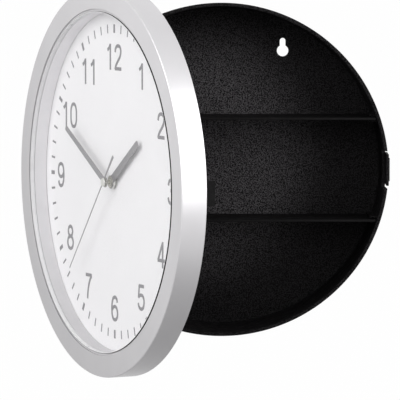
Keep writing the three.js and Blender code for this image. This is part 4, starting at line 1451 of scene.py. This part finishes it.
    def tongue(self) -> None:
        """The latch's flexing tongue with its nib."""
        box = TRAY.measure("latch_tongue")
        face, front, half = box.high.x - self.nib_proud, box.low.y, box.high.z
        blade = block("latch", (box.low.x, front, -half), (face, box.high.y, half), 0.4)
        start, slope, root = front + self.nib_front, self.nib_slope, face - self.nib_root
        nib = plate("nib", [
            (root, start), (face, start), (box.high.x, start + slope), (face, start + 2 * slope),
            (root, start + 2 * slope),
        ], Axis.Z, -self.nib_half, self.nib_half, 0.15)
        join(blade, nib)
        hand_in(blade, Body.LATCH, CASE_BLACK, "latch_tongue")

    def pin(self) -> None:
        """The hinge's steel pin with a domed head."""
        box = TRAY.measure("hinge_pin")
        low, high, radius = box.low.z, box.high.z, self.pin_radius
        head = box.size.x / 2
        pin = turned("hinge_rod", [
            (radius - self.pin_tip, low), (radius, low + self.pin_tip), (radius, high - self.pin_dome[0][1]),
            *((head * share, high - drop) for share, drop in self.pin_dome),
        ], Axis.Z, SMALL_SIDES, centre=(box.middle.x, box.middle.y, 0.0))
        hand_in(pin, Body.SAFE, STEEL, "hinge_pin")


# The door's back and the movement on it
@dataclass
class DoorBack:
    """The moulded back of the door, its screws and the fastening of the movement."""

    disc_edge: float = 116.2
    flange_inner: float = 114.2
    flange_outer: float = 124.7
    plate: float = 2.0
    play: float = 0.3
    frame_half: float = 28.6
    frame_wall: float = 1.4
    frame_corner: float = 4.0
    frame_tall: float = 3.0
    ribs: int = 8
    rib_wide: float = 1.6
    rib_tall: float = 1.8
    neck: float = 3.5
    notch_low: float = -24.6
    notch_high: float = 25.7
    notch_edge: float = 6.2
    notch_side: float = -200.0
    knuckle: float = 3.4
    knuckle_half: float = 10.0
    pin_bore: float = 1.35
    finger_inner: float = 116.1
    finger_thick: float = 2.0
    finger_half: float = 8.0
    finger_tip: float = 7.85
    finger_rib: float = 0.8
    finger_slope: float = 1.6
    screw_count: int = 6
    screw_point: float = 0.3
    screw_taper: float = 1.2
    screw_shank: float = 1.1
    screw_head: float = 2.8
    screw_dome: tuple[Pair, ...] = ((1.0, 0.0), (1.0, 0.6), (0.88, 1.1), (0.6, 1.45), (0.3, 1.6))
    screw_turn: float = 0.7
    slot: Pair = (0.28, 1.5)
    slot_floor: float = 0.7
    nut_bore: float = 3.35

    def build(self) -> None:
        """Builds and dresses the door's back."""
        for part in (self.shell, self.screws, self.nut):
            part()

    def shell(self) -> None:
        """The moulded back: stepped disc, flange, ribs, frame, hinge knuckle and catch finger."""
        front = DOOR.measure("dial").high.y + self.play
        rear = DOOR.measure("bezel_ring").high.y
        step, flange = front + self.plate, rear - self.plate
        shell = turned("door_shell", rounded([
            (self.neck, front, 0.3), (self.disc_edge, front, 0.4), (self.disc_edge, flange, 0.2),
            (self.flange_outer, flange, 0.3), (self.flange_outer, rear, 0.5), (self.flange_inner, rear, 0.5),
            (self.flange_inner, step, 0.8), (self.neck, step, 0.3),
        ]), hollow=True)
        join(shell, self.frame(step), self.rib_star(step))
        x, y, _ = DOOR.hinge()
        edge, reach, half = x + self.notch_edge, x + 2 * self.notch_edge, self.knuckle_half
        cut(shell, block("notch", (self.notch_side, -OVER, self.notch_low),
                         (edge, rear + 5 * OVER, self.notch_high)))
        join(shell, rod("knuckle", self.knuckle, -half, half, Axis.Z, (x, y, 0.0), 0.3),
             block("arm", (x, flange, -half), (reach, rear, half), 0.2, 2),
             block("root", (edge - OVER, front + 5 * HAIR, -half), (reach, rear - 2 * HAIR, half), 0.2, 2))
        join(shell, self.finger(rear))
        cut(shell, rod("pin_bore", self.pin_bore, -half - OVER, half + OVER, Axis.Z, (x, y, 0.0)))
        hand_in(shell, Body.DOOR, BACK_BLACK, "door_back")

    def frame(self, step: float) -> Piece:
        """The low square frame that the movement sits in.

        Args:
            step: The depth of the disc's rear face.

        Returns:
            The frame.
        """
        half, corner, rear = self.frame_half, self.frame_corner, step + self.frame_tall
        frame_piece = squircle("frame", half + self.frame_wall, corner, step - OVER, rear)
        cut(frame_piece, squircle("frame_hollow", half, corner - 1, step - 2 * OVER, rear + OVER))
        ease(frame_piece, 0.3, 2)
        return frame_piece

    def rib_star(self, step: float) -> Piece:
        """The ribs from the frame out to the flange.

        Args:
            step: The depth of the disc's rear face.

        Returns:
            The ribs as one object.
        """
        half = self.rib_wide / 2
        bearings = [(n + 0.5) * 360 / self.ribs for n in range(self.ribs)]
        start = self.frame_half / math.cos(math.radians(bearings[0])) + 0.5
        end = self.flange_inner + OVER
        rib = block("rib", (-half, step - 0.5, start), (half, step + self.rib_tall, end), 0.35)
        return round_the_axis(rib, bearings)

    def finger(self, rear: float) -> Piece:
        """The catch finger whose rib rides over the latch's nib.

        Args:
            rear: The depth of the ring's rear edge.

        Returns:
            The finger.
        """
        start, end = rear - 2 * OVER, DOOR.measure("door_back").high.y
        inner, outer = self.finger_inner, self.finger_inner + self.finger_thick
        tip, slope = rear + self.finger_tip, self.finger_slope
        return plate("finger", [
            (inner, start), (outer, start), (outer, end), (inner, end), (inner, tip + slope),
            (inner - self.finger_rib, tip), (inner, tip - slope),
        ], Axis.Z, -self.finger_half, self.finger_half, 0.25)

    def screws(self) -> None:
        """Six screws with domed, cross-slotted heads, modelled once and copied."""
        box = DOOR.measure("bezel_screw_1")
        low, head, shank = box.low.y, box.high.y - self.screw_dome[-1][1], self.screw_shank
        screw = turned("screw", [
            (self.screw_point, low), (shank, low + self.screw_taper), (shank, head),
            *((self.screw_head * share, head + rise) for share, rise in self.screw_dome),
        ], sides=SMALL_SIDES // 2)
        floor, past = head + self.slot_floor, head + 3 * OVER
        cut(screw, *(block("slot", (-a, floor, -b), (a, past, b)) for a, b in (self.slot, self.slot[::-1])))
        for n in range(self.screw_count):
            node = f"bezel_screw_{n + 1}"
            place = DOOR.measure(node).middle
            turn = Matrix.Translation((place.x, 0.0, place.z)) @ Matrix.Rotation(self.screw_turn * n, 4, "Y")
            hand_in(copied(screw, f"screw_{n + 1}", turn), Body.DOOR, STEEL, node)
        drop(screw)

    def nut(self) -> None:
        """The hexagonal nut on the movement's neck and its washer, seen round the hands."""
        box = DOOR.measure("lock_nut")
        front, rear = box.depths
        corner = box.size.z / 2 / math.cos(math.pi / HEX)
        nut = turned("hex_nut", [(corner, front), (corner, rear)], sides=HEX)
        clip(nut, rod("cone", corner - 0.1, front, rear, edge=0.25))
        cut(nut, rod("bore", self.nut_bore, front - OVER, rear + OVER))
        hand_in(nut, Body.DOOR, NICKEL, "lock_nut")
        box = DOOR.measure("nut_washer")
        washer = hoop("thin_washer", (self.nut_bore, box.high.x), box.depths, (0.1, 0.12, 0.12, 0.1), 2,
                      SMALL_SIDES)
        hand_in(washer, Body.DOOR, NICKEL, "nut_washer")


def squircle(name: str, half: float, corner: float, low: float, high: float, steps: int = 8) -> Piece:
    """A square prism with rounded corners.

    Args:
        name: The piece's name.
        half: Half its width.
        corner: Its corners' radius.
        low: The depth where it starts.
        high: The depth where it ends.
        steps: The corners' steps.

    Returns:
        The piece.
    """
    flat = half - corner
    outline = []
    for n, (x, z) in enumerate(((1, 1), (-1, 1), (-1, -1), (1, -1))):
        for angle in (math.pi / 2 * (n + step / steps) for step in range(steps + 1)):
            outline.append((x * flat + corner * math.cos(angle), z * flat + corner * math.sin(angle)))
    return plate(name, outline, Axis.DEPTH, low, high)


@dataclass
class Movement:
    """The quartz movement on the door's back, as far as it shows."""

    corner: float = 4.0
    wall: float = 1.2
    play: float = 0.3
    plate: float = 1.4
    neck_bore: float = 2.4
    neck_tip: float = 2.8
    crest: float = 3.2
    root: float = 2.95
    pitch: float = 0.75
    thread_start: float = 0.3
    bay_play: float = 0.2
    stem: float = 1.35
    well: float = 6.6
    well_deep: float = 0.35
    panel: float = 11.0
    panel_corner: float = 1.5
    panel_deep: float = 0.3
    panel_place: Place = (12.0, 0.0, 8.0)
    clips: int = 4
    clip_half: float = 3.0
    clip_deep: float = 0.5
    nub_tall: float = 1.0
    nub: float = 2.7
    can: float = 13.1
    seam: float = 0.15
    seam_half: float = 0.1

    def build(self) -> None:
        """Builds and dresses the movement's outside."""
        for part in (self.base, self.cover, self.battery):
            part()

    def base(self) -> None:
        """The case's front half with the threaded neck."""
        box = DOOR.measure("movement_base")
        half, tip = box.high.x, box.low.y
        split = DOOR.measure("movement_cover").low.y - self.play
        front = DOOR.measure("rubber_washer").high.y + self.play
        shell = squircle("case_front", half, self.corner, front, split)
        ease(shell, 0.5, 3)
        inner, corner = half - self.wall, self.corner - self.wall
        cut(shell, squircle("hollow", inner, corner, front + self.plate, split + OVER))
        join(shell, turned("neck", self.thread(tip, front + 0.5), sides=SMALL_SIDES))
        cut(shell, rod("bore", self.neck_bore, tip - OVER, split + 2 * OVER))
        hand_in(shell, Body.DOOR, MOVEMENT_BLACK, "movement_base")

    def thread(self, low: float, high: float) -> list[Pair]:
        """The neck's outline with its thread as fine ridges.

        Args:
            low: Where the neck starts.
            high: Where it ends.

        Returns:
            The outline.
        """
        outline = [(self.neck_tip, low)]
        along = low + self.thread_start
        while along < high - self.pitch:
            outline += [(self.crest, along), (self.root, along + self.pitch / 2)]
            along += self.pitch
        return [*outline, (self.root, high)]

    def cover(self) -> None:
        """The case's rear half with its battery bay, clips and a well for the knob."""
        box = DOOR.measure("movement_cover")
        half, (split, rear) = box.high.x, box.depths
        inner, front, past = half - self.wall, split - OVER, rear + OVER
        shell = squircle("case_rear", half, self.corner, split, rear)
        ease(shell, 0.7, 4)
        cut(shell, squircle("hollow", inner, self.corner - self.wall, front, rear - self.wall))
        cell = DOOR.measure("battery")
        bay = block("bay", (-inner, front, cell.low.z - self.bay_play),
                    (inner, past, cell.high.z + self.bay_play), 0.4, 2)
        knob = DOOR.measure("setting_knob").middle
        centre = (knob.x, 0.0, knob.z)
        stem = rod("stem", self.stem, rear - 3 * OVER, past, centre=centre)
        well = rod("well", self.well, rear - self.well_deep, past, centre=centre)
        panel = squircle("panel", self.panel, self.panel_corner, rear - self.panel_deep, past, 4)
        put(panel, Matrix.Translation(self.panel_place))
        cut(shell, bay, stem, well, panel)
        notch = block("notch", (-self.clip_half, front, half - self.clip_deep),
                      (self.clip_half, split + self.clip_half, half + OVER), 0.2, 2)
        cut(shell, round_the_axis(notch, evenly(self.clips)))
        hand_in(shell, Body.DOOR, MOVEMENT_BLACK, "movement_cover")

    def battery(self) -> None:
        """The cell: a blue sleeve with rolled ends, and the bright can and nub at its ends."""
        box = DOOR.measure("battery")
        radius, low, high, top = box.size.z / 2, box.low.x, box.high.x, box.high.x - self.nub_tall
        seam = top - self.can
        groove = (radius - self.seam, seam)
        for name, finish, nodes, outline in (
            ("battery_sleeve", BATTERY_BLUE, ("battery",), [
                (radius - 1.2, low + 0.25), (radius - 0.3, low + 0.2), (radius, low + 0.6),
                (radius, seam - self.seam_half), groove]),
            ("battery_cap", PALE_BRASS, (), [
                groove, (radius, seam + self.seam_half), (radius, top - 0.5), (radius - 0.4, top - 0.05),
                (radius - 1.1, top), (self.nub + 0.2, top), (self.nub, top + 0.2), (self.nub, high - 0.3),
                (self.nub - 0.4, high)]),
            ("battery_end", NICKEL, (), [(radius - 1.3, low), (radius - 1.25, low + 0.3)]),
        ):
            piece = turned(name, outline, Axis.X, SMALL_SIDES, centre=(0.0, box.middle.y, box.middle.z))
            ease(piece, 0.1 if name == "battery_end" else 0.0, 2)
            hand_in(piece, Body.DOOR, finish, *nodes)


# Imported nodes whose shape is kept
@dataclass
class Kept:
    """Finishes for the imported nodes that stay."""

    nodes: dict[Finish, tuple[str, ...]] = field(default_factory=lambda: {
        RUBBER: ("rubber_washer",),
        STEEL: ("battery_contact_positive", "battery_contact_negative", "stator", "rotor", "clutch_spring"),
        BOARD_GREEN: ("circuit_board",),
        COPPER_WIRE: ("coil",),
        WHITE_NYLON: ("train_plate", "intermediate_wheel", "second_wheel", "centre_wheel", "minute_wheel",
                      "hour_wheel", "setting_knob"),
        YELLOW_NYLON: ("third_wheel",),
        PALE_BRASS: ("cannon_pinion",),
    })

    def build(self) -> None:
        """Gives each kept node its finish."""
        for finish, names in self.nodes.items():
            for name in names:
                for slot in frame["nodes"][name].material_slots:
                    slot.material = finish.material()
                log.info("%s: kept, %s", name, finish.name)


# The studio
@dataclass
class Lamp:
    """A soft box: where it stands, its size and the light that it gives."""

    name: str
    place: Place
    size: float
    level: float

    def build(self, aim: Vector) -> None:
        """Adds the lamp.

        Args:
            aim: The point that it faces.
        """
        clear()
        bpy.ops.object.light_add(type="AREA", location=self.place)
        lamp = take(self.name)
        ahead = aim - Vector(self.place)
        lamp.data.shape = "DISK"
        lamp.data.size = self.size
        lamp.data.energy = self.level * math.pi ** 2 * ahead.length_squared
        lamp.rotation_euler = ahead.to_track_quat("-Z", "Y").to_euler()


@dataclass
class Studio:
    """Camera, soft light and pale floor."""

    focal_pixels: float = 3686.5
    distance: float = 2.51374
    azimuth: float = math.radians(-0.147)
    elevation: float = math.radians(4.461)
    target: Place = (-0.01462, -0.052, -0.0205)
    sensor: float = 36.0
    sight: float = 100.0
    floor_drop: float = 0.06
    floor_size: float = 60.0
    floor_cloud: float = 400.0
    sky_level: float = 0.36
    floor_colour: float = 0.5
    floor_drift: float = 1.02
    floor_lift: float = 0.99
    shadow_lift: float = 0.6
    pool: Place = (0.03, -0.27, 0.0)
    near: float = 0.045
    far: float = 0.26
    lamps: tuple[Lamp, ...] = (
        Lamp("key", (1.5, -1.25, 0.62), 2.2, 0.72),
        Lamp("fill", (-1.4, -0.9, 0.7), 1.7, 0.56),
        Lamp("front", (-0.35, -2.3, 0.7), 1.7, 0.32),
    )

    def build(self) -> None:
        """Builds the studio round the object."""
        self.camera()
        for lamp in self.lamps:
            lamp.build(Vector(self.target))
        self.world()
        self.floor()

    def camera(self) -> None:
        """The camera at the photograph's viewing angle."""
        level = math.cos(self.elevation)
        forward = Vector((math.sin(self.azimuth) * level, math.cos(self.azimuth) * level,
                          -math.sin(self.elevation)))
        clear()
        bpy.ops.object.camera_add(location=Vector(self.target) - forward * self.distance)
        camera = take("camera")
        camera.rotation_euler = forward.to_track_quat("-Z", "Y").to_euler()
        camera.data.sensor_width = self.sensor
        camera.data.lens = self.sensor * self.focal_pixels / PHOTO_PIXELS
        camera.data.clip_end = self.sight
        bpy.context.scene.camera = camera

    def world(self) -> None:
        """A white surround where it is seen, and soft light elsewhere."""
        world = bpy.data.worlds.new("surround")
        bpy.context.scene.world = world
        recipe = Recipe(world)
        soft, white = (recipe.node("Background", None, WHITE, level).outputs[0]
                       for level in (self.sky_level, 1.0))
        seen = recipe.seen("Camera", "Glossy", "Transmission")
        recipe.surface(recipe.node("MixShader", None, seen, soft, white).outputs[0])

    def floor(self) -> None:
        """A pale floor that is white where it is lit and keeps the object's shadow."""
        clear()
        level = cad_low.z - self.floor_drop
        bpy.ops.mesh.primitive_plane_add(size=self.floor_size, location=(0.0, 0.0, level))
        floor = take("floor")
        settle()
        recipe = Recipe(bpy.data.materials.new("floor_pale"))
        grey, light = ((self.floor_colour * share,) * 3 for share in (1.0, self.floor_drift))
        cloud = recipe.blend(recipe.spread(recipe.noise(self.floor_cloud, 3.0), 0.0, 1.0), grey, light)
        away = recipe.node("Mapping", {"vector_type": "POINT"}, Vector=recipe.place, Scale=(1.0, 1.0, 0.0),
                           Location=(-self.pool[0], -self.pool[1], 0.0)).outputs["Vector"]
        distance = recipe.vector("LENGTH", away)
        direct, mirrored = (recipe.ramp(distance, self.near, self.far, low, self.floor_lift)
                            for low in (self.shadow_lift, 0.0))
        lift = recipe.sum("MAXIMUM", recipe.sum("MULTIPLY", recipe.seen("Camera"), direct),
                          recipe.sum("MULTIPLY", recipe.seen("Glossy", "Transmission"), mirrored))
        matt = recipe.node("BsdfDiffuse", None, cloud).outputs[0]
        glow = recipe.node("Emission", None, WHITE, 1.0).outputs[0]
        recipe.surface(recipe.node("MixShader", None, lift, matt, glow).outputs[0])
        floor.data.materials.append(recipe.owner)


def main() -> None:
    """Builds the studio, then every piece of the object in order."""
    logging.basicConfig(level=logging.INFO, format="%(message)s")
    bpy.context.scene.view_settings.view_transform = "Standard"
    for part in (Studio(), Safe(), Face(), Hands(), DoorBack(), Movement(), Kept()):
        part.build()


if __name__ == "__main__":
    main()
